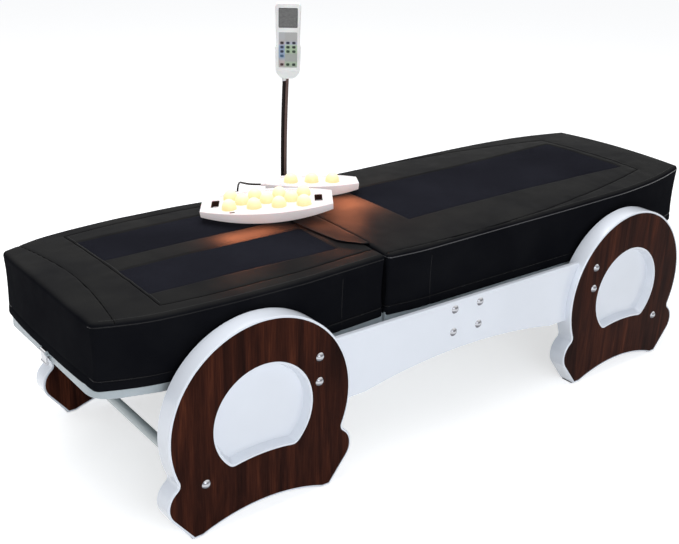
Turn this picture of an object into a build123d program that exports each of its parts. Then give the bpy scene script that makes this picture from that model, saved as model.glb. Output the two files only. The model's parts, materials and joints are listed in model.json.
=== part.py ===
from build123d import *
import math
import os

# Thermal massage bed. Millimetres, +Z up, +X towards the head end, -Y is the near side.
# The origin is on the floor under the middle of the bed.

# General fits
overrun = 2.0                # how far a cutter reaches past a face
seat_gap = 0.3               # between parts that move past each other
running_gap = 0.05           # radial play of a shaft in its bore
hole_gap = 0.2               # radial play round a bolt, and round a tongue in its slot

# Leg boards
leg_spacing = 1233.0         # between the middles of the foot and head legs
bed_width = 705.0            # over the outer faces of the legs
leg_thickness = 50.0
leg_height = 247.0           # middle of the disc above the floor
leg_radius = 235.0
lobe_radius = 53.0
lobe_offset = 190.0
lobe_height = 98.0
foot_offset = 183.0
foot_flat = 22.0
arch_height = 33.0
notch_radius = 14.0
rim_chamfer = 1.5
glide_thickness = 3.0
glide_inset = 8.0
dish_radius = 124.0
dish_floor = 154.0           # height of the dish's lower corners
dish_rise = 8.0
dish_depth = 20.0
dish_draft = 20.0            # degrees
dish_corner = 14.0
veneer_thickness = 1.2
veneer_margin = 5.0
veneer_gap = 0.2

# Side rails
rail_setback = 18.0          # behind the outer face of the leg
rail_thickness = 18.0
rail_top = 370.0
rail_bottom = 207.0
rail_arch_half = 320.0
rail_arch_height = 239.0
rail_round = 5.0
tongue_low = 262.0
tongue_high = 362.0
tongue_past_bolt = 15.0

# Bolts
leg_bolt_x = 469.0
upper_bolt_height = 349.5
lower_bolt_height = 287.8
rail_bolt_x = 43.0
bolt_radius = 4.0
bolt_head_radius = 11.0
bolt_head_height = 6.0
nut_width = 13.0
nut_height = 4.0

# Cross tubes and crossbeams
tube_bolt_x = 765.5
tube_height = 131.0
tube_radius = 12.5
tube_wall = 2.0
tube_plug = 12.0
beam_low = 274.0
beam_high = 318.0
beam_width = 40.0
beam_wall = 3.0
plate_low = 270.0
plate_high = 364.0
plate_thickness = 6.0
leg_plate_width = 50.0
rail_plate_width = 120.0

# Mats, trays and decks
mat_reach = 960.0            # from the middle to either end
mat_half_width = 297.0
mat_bottom = 366.0
mat_edge = 517.0             # top edge of the mats at the junction
mat_crown = 8.0
mat_draw = 4.0               # how far the sides pull in at half height
foot_end_drop = 8.0
head_end_rise = 14.0
junction_x = -226.0
junction_gap = 6.0
tray_inset = 5.0
tray_end_inset = 5.0
tray_depth = 30.0
tray_corner = 55.0           # plan radius of the corners at the bed's ends
tray_bevel = 3.0
tray_wall = 3.0
deck_thickness = 6.7
fabric_thickness = 3.0
seam_width = 3.0
seam_depth = 2.0
flap_thickness = 3.0

# Along the mat from the foot end: place, half width, end drop.
foot_plan_shares = (
    (0.0, 0.78, 1.0),
    (0.075, 0.862, 0.85),
    (0.185, 0.94, 0.6),
    (0.29, 0.972, 0.35),
    (0.46, 0.997, 0.05),
    (0.64, 1.0, 0.0),
    (0.82, 0.973, 0.0),
    (1.0, 0.946, 0.0),
)
# Along the mat from the junction: place, half width, end rise.
head_plan_shares = (
    (0.0, 0.953, 0.0),
    (0.105, 0.988, 0.1),
    (0.31, 0.987, 0.31),
    (0.5, 0.99, 0.5),
    (0.7, 0.98, 0.7),
    (0.82, 0.94, 0.82),
    (0.9, 0.885, 0.9),
    (1.0, 0.78, 1.0),
)

# Seams and fabric on the foot mat
foot_seam_x = -800.0
foot_arc_edge_x = -908.0
foot_arc_middle_x = -874.0
edge_seam_inset = 44.0
stripe_start = -792.0
stripe_end = -305.0
stripe_inner = 36.0
stripe_outer = 180.0
stripe_spread = 10.0         # how much further out the outer edge is at the junction end

# Fabric, seams and trench of the head mat
panel_start = -32.0
panel_end = 792.0
panel_start_half = 134.0
panel_waist_x = 250.0
panel_waist_half = 131.0
panel_end_half = 146.0
head_seam_x = 816.0
side_seam_start_half = 268.0
side_seam_middle_x = 480.0
side_seam_middle_half = 256.0
side_seam_end_half = 190.0
trench_start = -8.0
trench_half = 78.0
trench_margin = 74.0         # of the trench past the drive pulley's shaft

# Junction flap, which hangs from a tab between the mats
flap_start = -300.0
flap_half = 214.0
flap_shoulder = 168.0        # where its outer corners are cut off
flap_lift = 0.8
flap_tab_depth = 42.0
flap_tab_thickness = 2.0

# Sliding tracks
track_offset = 200.0
track_reach = 520.0
track_width = 30.0
track_height = 14.0
track_wall = 2.0
runner_length = 390.0
runner_start = -250.0
head_runner_start = 20.0

# Massage carriage
rod_radius = 6.0
rod_height = 357.0
rod_offset = 50.0
track_plate_low = 14.0
track_plate_setback = 270.0  # of the head-end plate from the end of the mat
track_plate = 16.0
carriage_x = 110.0
carriage_length = 150.0
carriage_half = 70.0
carriage_base = 20.0
cheek_thickness = 14.0
cheek_top = 408.0
post_radius = 4.0
post_x = 55.0
post_offset = 63.0
post_bottom = 390.0
post_socket = 352.0
lift_plate_low = 445.0
lift_plate = 8.0
lift_half = 68.0
lug_thickness = 7.0
lug_length = 22.0
axle_x = 45.0
axle_height = 494.0
lug_over_axle = 9.0
axle_radius = 5.0
roller_radius = 24.0
roller_end_radius = 20.0
roller_width = 34.0
roller_offset = 32.0

# Belt drive
pulley_radius = 14.0
pulley_width = 12.0
pulley_height = 385.0
belt_width = 10.0
belt_thickness = 1.6
belt_gap = 0.1
shaft_radius = 3.0
hub_radius = 6.0
ear_thickness = 4.0
ear_gap = 1.0
clamp_length = 24.0
clamp_thickness = 8.0
clamp_jaw = 3.0
clamp_side = 2.0
motor_radius = 20.0
motor_length = 54.0
motor_near = 10.0
motor_foot = 30.0

# Control box under the head tray
box_setback = 400.0          # of the box's near end from the end of the mat
box_length = 200.0
box_half = 90.0
box_low = 290.0
box_wall = 2.5
inlet_offset = 40.0
inlet_width = 48.0
inlet_height = 28.0
inlet_flange = 3.0
inlet_depth = 16.0
inlet_recess_width = 24.0
inlet_recess_height = 16.0
inlet_pin_radius = 1.2
inlet_pin_length = 12.0
inlet_pin_pitch = 7.0
switch_offset = -40.0
switch_width = 30.0
rocker_width = 18.0
rocker_height = 14.0
rocker_depth = 7.0
rocker_proud = 2.0
rocker_pin_radius = 1.5
rocker_tilt = 9.0            # degrees either way; it rests with its upper end out

# Latch at the foot end
latch_rise = 22.0            # of its axis over the underside of the tray
latch_axis_out = 7.0
latch_pin_radius = 2.0
latch_barrel_radius = 5.0
latch_width = 28.0
latch_bottom = 332.0
latch_plate = 4.0
latch_grip_radius = 4.0
ear_width = 4.0

# Handset on its gooseneck
stalk_x = -92.0
stalk_top = 807.7
stalk_radius = 4.5
stalk_sway = 5.0
stalk_base_length = 40.0
stalk_base_height = 16.0
stalk_jaw = 3.0
stalk_jaw_depth = 26.0
stalk_gap = 0.5
cable_radius = 3.5
cable_gap = 1.0
cable_offset = 9.5
clip_wall = 1.5
clip_height = 8.0
handset_turn = -34.8         # degrees about Z, so that the keys face the user
handset_height = 200.5
handset_top_width = 70.0
handset_low_width = 58.0
handset_thickness = 24.0
handset_top_round = 10.0
handset_low_round = 24.0
cradle_height = 86.0
cradle_wall = 3.0
cradle_lip = 2.5
cradle_lip_height = 22.0
cradle_gap = 0.4
cable_exit_radius = 6.0
screen_width = 51.0
screen_height = 52.0
screen_top = 12.5
screen_thickness = 1.2
pad_width = 50.0
pad_height = 94.0
pad_top = 76.5
pad_thickness = 0.8
key_pitch = 16.0
key_width = 9.0
key_height = 6.5
key_round = 2.2
key_thickness = 2.2
key_proud = 0.9
key_well = 3.0
# Rows below the top of the handset: depth, and which of the three columns hold a key.
key_rows = (
    (104.5, (-1, 0, 1)),
    (116.0, (-1, 0, 1)),
    (127.5, (-1, 0, 1)),
    (139.5, (-1,)),
    (162.5, (-1, 0, 1)),
)

# Jade projectors
front_centre = (-325.0, 72.0)
front_turn = -34.5           # degrees about Z
front_tilt = 4.5             # degrees; its head end lies over the flap
front_length = 330.0
front_width = 200.0
front_height = 40.0
front_end_width = 106.0
front_ball_rows = (4, 3, 4)
front_ball_pitch = 62.0
front_row_pitch = 38.0
front_gland_angle = 120.0
front_gland_root = (-30.0, 80.0, 20.0)
rear_centre = (-124.0, 163.0)
rear_turn = -30.0
rear_length = 250.0
rear_width = 112.0
rear_height = 38.0
rear_end_width = 56.0
rear_ball_rows = (3,)
rear_ball_pitch = 56.0
rear_gland_angle = 180.0
rear_gland_height = 29.0
ball_radius = 19.0
ball_sink = 2.0              # how far a ball's middle lies below the cover
projector_margin = 15.0      # of the deck round the sunk cover
projector_recess = 2.0
grip_slot_length = 56.0
grip_slot_width = 20.0
grip_slot_place = 130.0
lamp_socket = (-84.0, -74.0)
lamp_socket_length = 13.0
lamp_socket_width = 9.0
lamp_socket_depth = 6.0
projector_gap = 0.4
projector_foot_share = 0.5
projector_bilge_share = 0.86
projector_bilge_height_share = 0.42
projector_rocker_share = 0.42  # of its height, by which the keel rises towards both ends
keel_step_count = 30
projector_station_shares = (-1.0, -0.75, -0.4, 0.0, 0.4, 0.75, 1.0)
gland_radius = 5.0
gland_length = 12.0
gland_lead = 24.0            # straight run of cord from its gland

# Cords
cord_radius = 2.75
arc_share = 0.45             # of the shorter run beside each corner of a cord
socket_x = -150.0
socket_length = 76.0
socket_height = 40.0
socket_low = 300.0
socket_depth = 20.0
socket_pitch = 44.0
# Corners of each cord after the straight run from its gland, up to its socket
front_cord_route = (
    (-297.0, 226.0, 532.0),
    (-290.0, 262.0, 526.5),
    (-279.0, 299.0, 521.0),
    (-268.0, 328.0, 507.0),
    (-262.0, 347.0, 478.0),
    (-262.5, 350.0, 430.0),
    (-264.0, 347.0, 365.0),
    (-262.0, 346.0, 295.0),
    (-263.0, 347.0, 225.0),
    (-262.0, 346.0, 158.0),
    (-261.5, 347.0, 98.0),
    (-255.0, 346.0, 58.0),
    (-222.5, 346.5, 19.0),
    (-167.0, 346.0, 16.0),
    (-134.0, 345.5, 55.0),
    (-128.5, 346.0, 112.0),
    (-127.0, 345.0, 172.0),
    (-128.0, 344.5, 232.0),
)
rear_cord_route = (
    (-268.0, 278.0, 549.0),
    (-258.0, 314.0, 541.0),
    (-247.0, 341.0, 517.0),
    (-243.0, 350.0, 475.0),
    (-241.0, 347.0, 418.0),
    (-242.0, 346.0, 345.0),
    (-240.0, 347.0, 270.0),
    (-241.0, 346.0, 200.0),
    (-239.5, 347.0, 140.0),
    (-239.0, 346.0, 92.0),
    (-220.0, 346.5, 72.0),
    (-192.0, 346.0, 71.0),
    (-173.0, 345.5, 91.0),
    (-171.5, 346.0, 136.0),
    (-172.5, 345.0, 190.0),
    (-172.0, 344.5, 242.0),
)

# Derived places
outer_face = bed_width / 2
inner_face = outer_face - leg_thickness
leg_x = leg_spacing / 2
rail_near = outer_face - rail_setback
rail_far = rail_near - rail_thickness
rail_mid = (rail_near + rail_far) / 2
foot_mat_end = junction_x - junction_gap / 2
head_mat_start = junction_x + junction_gap / 2
tray_low = mat_bottom - tray_depth
tray_floor = tray_low + tray_wall
latch_axis_height = tray_low + latch_rise
track_plate_high = mat_reach - track_plate_setback
drive_x = track_plate_high + track_plate
trench_end = drive_x + trench_margin
box_start = mat_reach - box_setback
lug_top = axle_height + lug_over_axle


def box(x0, x1, y0, y1, z0, z1):
    centre = Pos((x0 + x1) / 2, (y0 + y1) / 2, (z0 + z1) / 2)
    return centre * Box(abs(x1 - x0), abs(y1 - y0), abs(z1 - z0))


def slab_xy(sketch, low, high):
    return extrude(Plane.XY.offset(low) * sketch, amount=high - low, dir=(0, 0, 1))


def slab_xz(sketch, near, far):
    return extrude(Plane.XZ.offset(-near) * sketch, amount=far - near, dir=(0, 1, 0))


def slab_yz(sketch, low, high):
    return extrude(Plane.YZ.offset(low) * sketch, amount=high - low, dir=(1, 0, 0))


def polygon(*points):
    """A face through the points, facing upwards whichever way they run."""
    turns = zip(points, points[1:] + points[:1])
    area = sum(a[0] * b[1] - b[0] * a[1] for a, b in turns)
    ordered = points if area > 0 else points[::-1]
    return Polygon(*ordered, align=None)


def rod_x(radius, y, z, x0, x1):
    return slab_yz(Pos(y, z) * Circle(radius), x0, x1)


def rod_y(radius, x, z, y0, y1):
    return slab_xz(Pos(x, z) * Circle(radius), y0, y1)


def rod_z(radius, x, y, z0, z1):
    return slab_xy(Pos(x, y) * Circle(radius), z0, z1)


def flip_x(shape):
    return mirror(shape, about=Plane.YZ)


def flip_y(shape):
    return mirror(shape, about=Plane.XZ)


def save(name, *shapes):
    solids = [solid for shape in shapes for solid in shape.solids()]
    whole = solids[0] if len(solids) == 1 else Compound(solids)
    export_step(whole, os.path.join("parts", name + ".step"))
    print(name, len(solids))


# Leg boards


def chord_circle(half, low, high, grow=0):
    """Circle whose top is at the height high and that is 2 * half wide at the height low."""
    rise = high - low
    radius = (half * half + rise * rise) / (2 * rise)
    return Pos(0, high - radius) * Circle(radius + grow)


def leg_outline(inset=0):
    """Outline of a leg board about its disc's middle, or the same drawn in all round."""
    low = glide_thickness + inset
    drop = glide_thickness - lobe_height
    shift = foot_offset - lobe_offset
    touch = math.atan2(drop, shift) + math.acos(lobe_radius / math.hypot(drop, shift))
    radius = lobe_radius - inset
    touch_x = lobe_offset + radius * math.cos(touch)
    touch_z = lobe_height + radius * math.sin(touch)
    tip_x = touch_x + (touch_z - low) * math.tan(touch)
    sketch = Pos(0, leg_height) * Circle(leg_radius - inset)
    for side in (-1, 1):
        sketch += Pos(side * lobe_offset, lobe_height) * Circle(radius)
        sketch += polygon(
            (0, low),
            (side * tip_x, low),
            (side * touch_x, touch_z),
            (side * lobe_offset, lobe_height),
            (0, leg_height),
        )
    sketch -= chord_circle(foot_offset - foot_flat, glide_thickness, arch_height, inset)
    notch = [
        vertex
        for vertex in sketch.vertices()
        if lobe_height < vertex.Y < leg_height - lobe_radius / 2 and abs(vertex.X) > lobe_offset
    ]
    return fillet(notch, notch_radius + inset)


def dish_outline(grow=0):
    """Outline of the dish in a leg's outer face: a circle cut off below by a shallow arch."""
    half = math.sqrt(dish_radius**2 - (leg_height - dish_floor) ** 2)
    sketch = Pos(0, leg_height) * Circle(dish_radius + grow)
    sketch -= chord_circle(half, dish_floor, dish_floor + dish_rise, -grow)
    low = [vertex for vertex in sketch.vertices() if vertex.Y < dish_floor + dish_rise]
    return fillet(low, dish_corner + grow)


def leg_local_bolts():
    bolts = [(leg_x - leg_bolt_x, height) for height in (upper_bolt_height, lower_bolt_height)]
    return bolts + [(leg_x - tube_bolt_x, tube_height)]


def near_leg_board():
    """The foot leg on the near side, with its disc's middle at x = 0."""
    near = -outer_face
    far = -inner_face
    board = slab_xz(leg_outline(), near, far)
    rims = board.faces().filter_by(Axis.Y)
    board = chamfer(rims.edges(), rim_chamfer)
    field = leg_outline(veneer_margin)
    board -= slab_xz(field - dish_outline(veneer_margin), near - overrun, near + veneer_thickness)
    board -= slab_xz(field, far - veneer_thickness, far + overrun)
    narrowing = dish_depth * math.tan(math.radians(dish_draft))
    mouth = Plane.XZ.offset(outer_face) * dish_outline()
    bottom = Plane.XZ.offset(outer_face - dish_depth) * dish_outline(-narrowing)
    board -= loft([mouth, bottom], ruled=True)
    tongue_end = leg_x - leg_bolt_x - tongue_past_bolt
    board -= box(
        tongue_end - hole_gap,
        leg_radius + overrun,
        -rail_near - hole_gap,
        -rail_far + hole_gap,
        tongue_low - hole_gap,
        tongue_high + hole_gap,
    )
    for x, z in leg_local_bolts():
        board -= rod_y(bolt_radius + hole_gap, x, z, near - overrun, far + overrun)
    return board


def near_leg_veneers():
    near = -outer_face
    far = -inner_face
    field = leg_outline(veneer_margin + veneer_gap)
    window = dish_outline(veneer_margin + veneer_gap)
    outer = slab_xz(field - window, near, near + veneer_thickness)
    inner = slab_xz(field, far - veneer_thickness, far)
    for x, z in leg_local_bolts():
        hole = rod_y(bolt_radius + hole_gap, x, z, near - overrun, far + overrun)
        outer -= hole
        inner -= hole
    return [outer, inner]


def make_legs():
    place = Pos(-leg_x, 0, 0)
    board = place * near_leg_board()
    save("foot_near_leg", board)
    save("head_near_leg", flip_x(board))
    save("foot_far_leg", flip_y(board))
    save("head_far_leg", flip_x(flip_y(board)))
    near = [place * sheet for sheet in near_leg_veneers()]
    sheets = near + [flip_x(sheet) for sheet in near]
    save("leg_veneers", *sheets, *[flip_y(sheet) for sheet in sheets])


def make_glides():
    pads = []
    inner = foot_offset - foot_flat
    for leg in (-leg_x, leg_x):
        for side in (-1, 1):
            x0 = leg + side * inner
            x1 = leg + side * foot_offset
            pad = box(x0, x1, -outer_face + glide_inset, -inner_face - glide_inset, 0, glide_thickness)
            pads += [pad, flip_y(pad)]
    save("floor_glides", *pads)


# Side rails


def make_rails():
    half = leg_x - leg_radius / 2
    sketch = Pos(0, (rail_top + rail_bottom) / 2) * Rectangle(2 * half, rail_top - rail_bottom)
    sketch -= chord_circle(rail_arch_half, rail_bottom, rail_arch_height)
    for side in (-1, 1):
        sketch -= Pos(side * leg_x, leg_height) * Circle(leg_radius + hole_gap)
    rail = slab_xz(sketch, -rail_near, -rail_far)
    rail = max(rail.solids(), key=lambda solid: solid.volume)
    top = [edge for edge in rail.edges().filter_by(Axis.X) if edge.center().Z > rail_top - rail_round]
    rail = fillet(top, rail_round)
    reach = leg_bolt_x + tongue_past_bolt
    rail += box(-reach, reach, -rail_near, -rail_far, tongue_low, tongue_high)
    holes = [(leg_bolt_x, upper_bolt_height), (leg_bolt_x, lower_bolt_height)]
    holes += [(rail_bolt_x, upper_bolt_height), (rail_bolt_x, lower_bolt_height)]
    for x, z in holes:
        for side in (-1, 1):
            rail -= rod_y(
                bolt_radius + hole_gap, side * x, z, -rail_near - overrun, -rail_far + overrun
            )
    save("near_side_rail", rail)
    save("far_side_rail", flip_y(rail))


# Bolts


def bolt_profile(grip):
    """Half section of a domed bolt, its head above zero and its shank below."""
    cap_radius = (bolt_head_radius**2 + bolt_head_height**2) / (2 * bolt_head_height)
    centre = bolt_head_height - cap_radius
    halfway = (math.asin(-centre / cap_radius) + math.pi / 2) / 2
    crest = (cap_radius * math.cos(halfway), centre + cap_radius * math.sin(halfway))
    return make_face([
        Polyline(
            (0, bolt_head_height), (0, -grip), (bolt_radius, -grip), (bolt_radius, 0), (bolt_head_radius, 0)
        ),
        ThreePointArc((bolt_head_radius, 0), crest, (0, bolt_head_height)),
    ])


def near_bolt(x, z, seat, grip, nut):
    """Domed bolt with its head on the face at y = -seat; grip is its length under the head."""
    bolt = Pos(x, -seat, z) * Rot(180, 0, 0) * revolve(bolt_profile(grip), Axis.Y)
    if nut:
        sketch = RegularPolygon(nut_width / 2, 6, major_radius=False)
        hexagon = slab_xz(Pos(x, z) * sketch, -seat + grip - nut_height, -seat + grip)
        bolt += hexagon
    return bolt


def make_bolts():
    leg_grip = leg_thickness + plate_thickness + nut_height
    rail_grip = rail_thickness + plate_thickness + nut_height
    tube_grip = leg_thickness + tube_plug
    near = []
    for side in (-1, 1):
        for z in (upper_bolt_height, lower_bolt_height):
            near.append(near_bolt(side * leg_bolt_x, z, outer_face, leg_grip, True))
            near.append(near_bolt(side * rail_bolt_x, z, rail_near, rail_grip, True))
        near.append(near_bolt(side * tube_bolt_x, tube_height, outer_face, tube_grip, False))
    save("frame_bolts", *near, *[flip_y(bolt) for bolt in near])


# Cross tubes, crossbeams and tracks


def make_cross_tubes():
    tubes = []
    for side in (-1, 1):
        x = side * tube_bolt_x
        tube = rod_y(tube_radius, x, tube_height, -inner_face, inner_face)
        tube -= rod_y(
            tube_radius - tube_wall, x, tube_height, -inner_face + tube_plug, inner_face - tube_plug
        )
        tube -= rod_y(bolt_radius, x, tube_height, -inner_face - overrun, inner_face + overrun)
        tubes.append(tube)
    save("cross_tubes", *tubes)


def crossbeam(x, half_span, plate_width, bolt_places):
    beam = box(x - beam_width / 2, x + beam_width / 2, -half_span, half_span, beam_low, beam_high)
    beam -= box(
        x - beam_width / 2 + beam_wall, x + beam_width / 2 - beam_wall,
        -half_span - overrun, half_span + overrun,
        beam_low + beam_wall, beam_high - beam_wall,
    )
    for side in (-1, 1):
        beam += box(
            x - plate_width / 2, x + plate_width / 2,
            side * (half_span - plate_thickness), side * half_span,
            plate_low, plate_high,
        )
    for bolt_x in bolt_places:
        for z in (upper_bolt_height, lower_bolt_height):
            beam -= rod_y(bolt_radius, bolt_x, z, -half_span - overrun, half_span + overrun)
    return beam


def make_crossbeams():
    foot = crossbeam(-leg_bolt_x, inner_face, leg_plate_width, (-leg_bolt_x,))
    head = crossbeam(leg_bolt_x, inner_face, leg_plate_width, (leg_bolt_x,))
    middle = crossbeam(0, rail_far, rail_plate_width, (-rail_bolt_x, rail_bolt_x))
    save("crossbeams", foot, middle, head)


def make_tray_tracks():
    tracks = []
    for side in (-1, 1):
        y = side * track_offset
        track = box(
            -track_reach, track_reach,
            y - track_width / 2, y + track_width / 2,
            beam_high, beam_high + track_height,
        )
        track -= box(
            -track_reach - overrun, track_reach + overrun,
            y - track_width / 2 + track_wall, y + track_width / 2 - track_wall,
            beam_high + track_wall, beam_high + track_height + overrun,
        )
        tracks.append(track)
    save("tray_tracks", *tracks)


# Mats


def foot_stations(start, end):
    return [(start + share * (end - start), width, drop) for share, width, drop in foot_plan_shares]


def head_stations(start, end):
    return [(start + share * (end - start), width, rise) for share, width, rise in head_plan_shares]


def mat_section(x, half, edge, low):
    """Closed section across the mat: flat base, sides drawn in at half height, crowned top."""
    middle = (low + edge) / 2
    base = Line((-half, low), (half, low))
    right = ThreePointArc((half, low), (half - mat_draw, middle), (half, edge))
    crown = ThreePointArc((half, edge), (0, edge + mat_crown), (-half, edge))
    left = ThreePointArc((-half, edge), (-half + mat_draw, middle), (-half, low))
    return Plane.YZ.offset(x) * make_face([base, right, crown, left])


def mat_body(stations, end_change):
    sections = []
    for x, width, change in stations:
        edge = mat_edge + end_change * change
        sections.append(mat_section(x, width * mat_half_width, edge, mat_bottom))
    return loft(sections)


def strip(points, width):
    """A strip of the given width, measured across the bed, along a row of plan points."""
    upper = [(x, y + width / 2) for x, y in points]
    lower = [(x, y - width / 2) for x, y in reversed(points)]
    return polygon(*upper, *lower)


def top_layer(outline, body, depth):
    """The part of the body under its crown, inside the outline, down to the given depth."""
    high = mat_edge + head_end_rise + mat_crown + overrun
    prism = slab_xy(outline, mat_bottom, high)
    return (prism & body) - Pos(0, 0, -depth) * body


def top_cutter(outline, body, depth):
    high = mat_edge + head_end_rise + mat_crown + overrun
    low = mat_edge - foot_end_drop - overrun - seam_depth
    return slab_xy(outline, low, high) - Pos(0, 0, -depth) * body


def edge_seam(stations, side):
    points = [(x, side * (width * mat_half_width - edge_seam_inset)) for x, width, _change in stations]
    return strip(points, seam_width)


def arc_band(start, middle, end, shift):
    """A band between an arc and the same arc moved by the shift."""
    near = ThreePointArc(start, middle, end)
    far = Pos(*shift) * near
    sides = [Line(near @ 0, far @ 0), Line(near @ 1, far @ 1)]
    return make_face([near, far, *sides])


def foot_stripe(side, shrink):
    inner = stripe_inner + shrink
    outer = stripe_outer - shrink
    return polygon(
        (stripe_start + shrink, side * inner),
        (stripe_start + shrink, side * outer),
        (stripe_end - shrink, side * (outer + stripe_spread)),
        (stripe_end - shrink, side * inner),
    )


def foot_seams(stations):
    half = mat_half_width - edge_seam_inset
    seams = [strip([(foot_seam_x, 0), (foot_seam_x + seam_width, 0)], 2 * half)]
    seams.append(arc_band(
        (foot_arc_edge_x, -half), (foot_arc_middle_x, 0), (foot_arc_edge_x, half), (seam_width, 0)
    ))
    seams += [edge_seam(stations[2:], side) for side in (-1, 1)]
    return seams


def head_side_seam(side):
    """Seam beside the panel, which bends in towards the cross seam."""
    return arc_band(
        (head_mat_start - overrun, side * side_seam_start_half),
        (side_seam_middle_x, side * side_seam_middle_half),
        (head_seam_x, side * side_seam_end_half),
        (0, -side * seam_width),
    )


def make_foot_mat():
    stations = foot_stations(-mat_reach, foot_mat_end)
    body = mat_body(stations, -foot_end_drop)
    cushion = body
    for side in (-1, 1):
        cushion -= top_cutter(foot_stripe(side, 0), body, fabric_thickness)
    for seam in foot_seams(stations):
        cushion -= top_cutter(seam, body, seam_depth)
    save("foot_cushion", cushion)
    stripes = [top_layer(foot_stripe(side, seat_gap), body, fabric_thickness - seat_gap) for side in (-1, 1)]
    save("foot_fabric", *stripes)


def panel_outline(shrink):
    start = panel_start + shrink
    end = panel_end - shrink
    ends = (panel_start_half - shrink, panel_end_half - shrink)
    waist = panel_waist_half - shrink
    near = ThreePointArc((start, -ends[0]), (panel_waist_x, -waist), (end, -ends[1]))
    far = ThreePointArc((start, ends[0]), (panel_waist_x, waist), (end, ends[1]))
    foot = Line(near @ 0, far @ 0)
    head = Line(near @ 1, far @ 1)
    return make_face([near, foot, far, head])


def make_head_mat():
    stations = head_stations(head_mat_start, mat_reach)
    body = mat_body(stations, head_end_rise)
    cushion = body - top_cutter(panel_outline(0), body, fabric_thickness)
    seams = [head_side_seam(side) for side in (-1, 1)]
    seams.append(strip([(head_seam_x, 0), (head_seam_x + seam_width, 0)], 2 * side_seam_end_half))
    for seam in seams:
        cushion -= top_cutter(seam, body, seam_depth)
    cushion -= box(
        trench_start, trench_end, -trench_half, trench_half,
        mat_bottom - overrun, mat_edge + head_end_rise + mat_crown,
    )
    save("head_cushion", cushion)
    save("head_fabric", top_layer(panel_outline(seat_gap), body, fabric_thickness - seat_gap))


def make_flap():
    """Leather cover strip over the joint of the two mats, with a tab down between them."""
    back = head_mat_start - seat_gap
    tab = back - flap_tab_thickness
    outline = polygon(
        (flap_start, -flap_shoulder), (tab, -flap_half), (back, -flap_half),
        (back, flap_half), (tab, flap_half), (flap_start, flap_shoulder),
    )
    half = head_plan_shares[0][1] * mat_half_width
    ends = (flap_start - overrun, back + overrun)
    sections = [mat_section(x, half, mat_edge + flap_lift, mat_bottom) for x in ends]
    body = loft(sections, ruled=True)
    prism = slab_xy(outline, mat_bottom, mat_edge + mat_crown + 2 * flap_thickness)
    cover = Pos(0, 0, flap_thickness) * body
    flap = (prism & cover) - body
    flap = max(flap.solids(), key=lambda solid: solid.center().Z)
    low = mat_edge - flap_tab_depth
    flap += box(tab, back, -flap_half, flap_half, low, mat_edge + mat_crown + 2 * flap_thickness) & cover
    save("junction_flap", flap)


# Trays and decks


def plan_outline(stations, inset, rounded_end):
    """A mat's plan, drawn in all round, with round corners at the foot (-1) or head (1) end."""
    last = len(stations) - 1
    points = []
    for index, (x, width, _change) in enumerate(stations):
        shift = inset * ((index == 0) - (index == last))
        points.append((x + shift, width * mat_half_width - tray_inset - inset))
    mirrored = [(x, -y) for x, y in reversed(points)]
    sketch = polygon(*points, *mirrored)
    corners = sketch.vertices().sort_by(Axis.X, reverse=rounded_end > 0)[:2]
    return fillet(corners, tray_corner - inset)


def tray_shell(stations, rounded_end):
    shell = slab_xy(plan_outline(stations, 0, rounded_end), tray_low, mat_bottom)
    shell = chamfer(shell.faces().sort_by(Axis.Z)[0].edges(), tray_bevel)
    return shell - slab_xy(plan_outline(stations, tray_wall, rounded_end), tray_floor, mat_bottom + overrun)


def deck(stations, rounded_end):
    """Plywood deck that lies in the top of the tray, flush with its rim."""
    outline = plan_outline(stations, tray_wall + seat_gap, rounded_end)
    return slab_xy(outline, mat_bottom - deck_thickness, mat_bottom)


def runner(x0, x1, y, low):
    half = track_width / 2 - track_wall - seat_gap
    return box(x0, x1, y - half, y + half, low, tray_low)


def latch_place():
    return -mat_reach + tray_end_inset - latch_axis_out


def make_foot_tray():
    stations = foot_stations(-mat_reach + tray_end_inset, foot_mat_end - seat_gap)
    tray = tray_shell(stations, -1)
    x = latch_place()
    for side in (-1, 1):
        inner = latch_width / 2 + seat_gap
        ear = rod_y(latch_barrel_radius, x, latch_axis_height, side * inner, side * (inner + ear_width))
        if side < 0:
            ear = rod_y(latch_barrel_radius, x, latch_axis_height, -inner - ear_width, -inner)
        ear += box(
            x, -mat_reach + tray_end_inset + tray_wall / 2,
            side * inner, side * (inner + ear_width),
            latch_axis_height - latch_barrel_radius, latch_axis_height + latch_barrel_radius,
        )
        tray += ear
    reach = latch_width / 2 + ear_width + overrun
    tray -= rod_y(latch_pin_radius + running_gap, x, latch_axis_height, -reach, reach)
    save("foot_tray", tray)
    save("foot_deck", deck(stations, -1))
    start = runner_start - runner_length
    low = beam_high + track_wall + seat_gap
    runners = [runner(start, runner_start, side * track_offset, low) for side in (-1, 1)]
    save("foot_runners", *runners)


def make_latch():
    x = latch_place()
    half = latch_width / 2
    lever = rod_y(latch_barrel_radius - seat_gap, x, latch_axis_height, -half, half)
    lever += box(x - latch_plate / 2, x + latch_plate / 2, -half, half, latch_bottom, latch_axis_height)
    lever += rod_y(latch_grip_radius, x, latch_bottom, -half, half)
    pin = half + seat_gap + ear_width
    lever += rod_y(latch_pin_radius, x, latch_axis_height, -pin, pin)
    save("tray_latch", lever)


def make_head_tray():
    stations = head_stations(head_mat_start + seat_gap, mat_reach - tray_end_inset)
    tray = tray_shell(stations, 1)
    low = beam_high + track_wall
    for side in (-1, 1):
        tray += runner(head_runner_start, track_reach, side * track_offset, low)
    save("head_tray", tray)
    plate = deck(stations, 1)
    plate -= box(
        trench_start, trench_end, -trench_half, trench_half,
        mat_bottom - deck_thickness - overrun, mat_bottom + overrun,
    )
    save("head_deck", plate)


# Massage carriage


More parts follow.
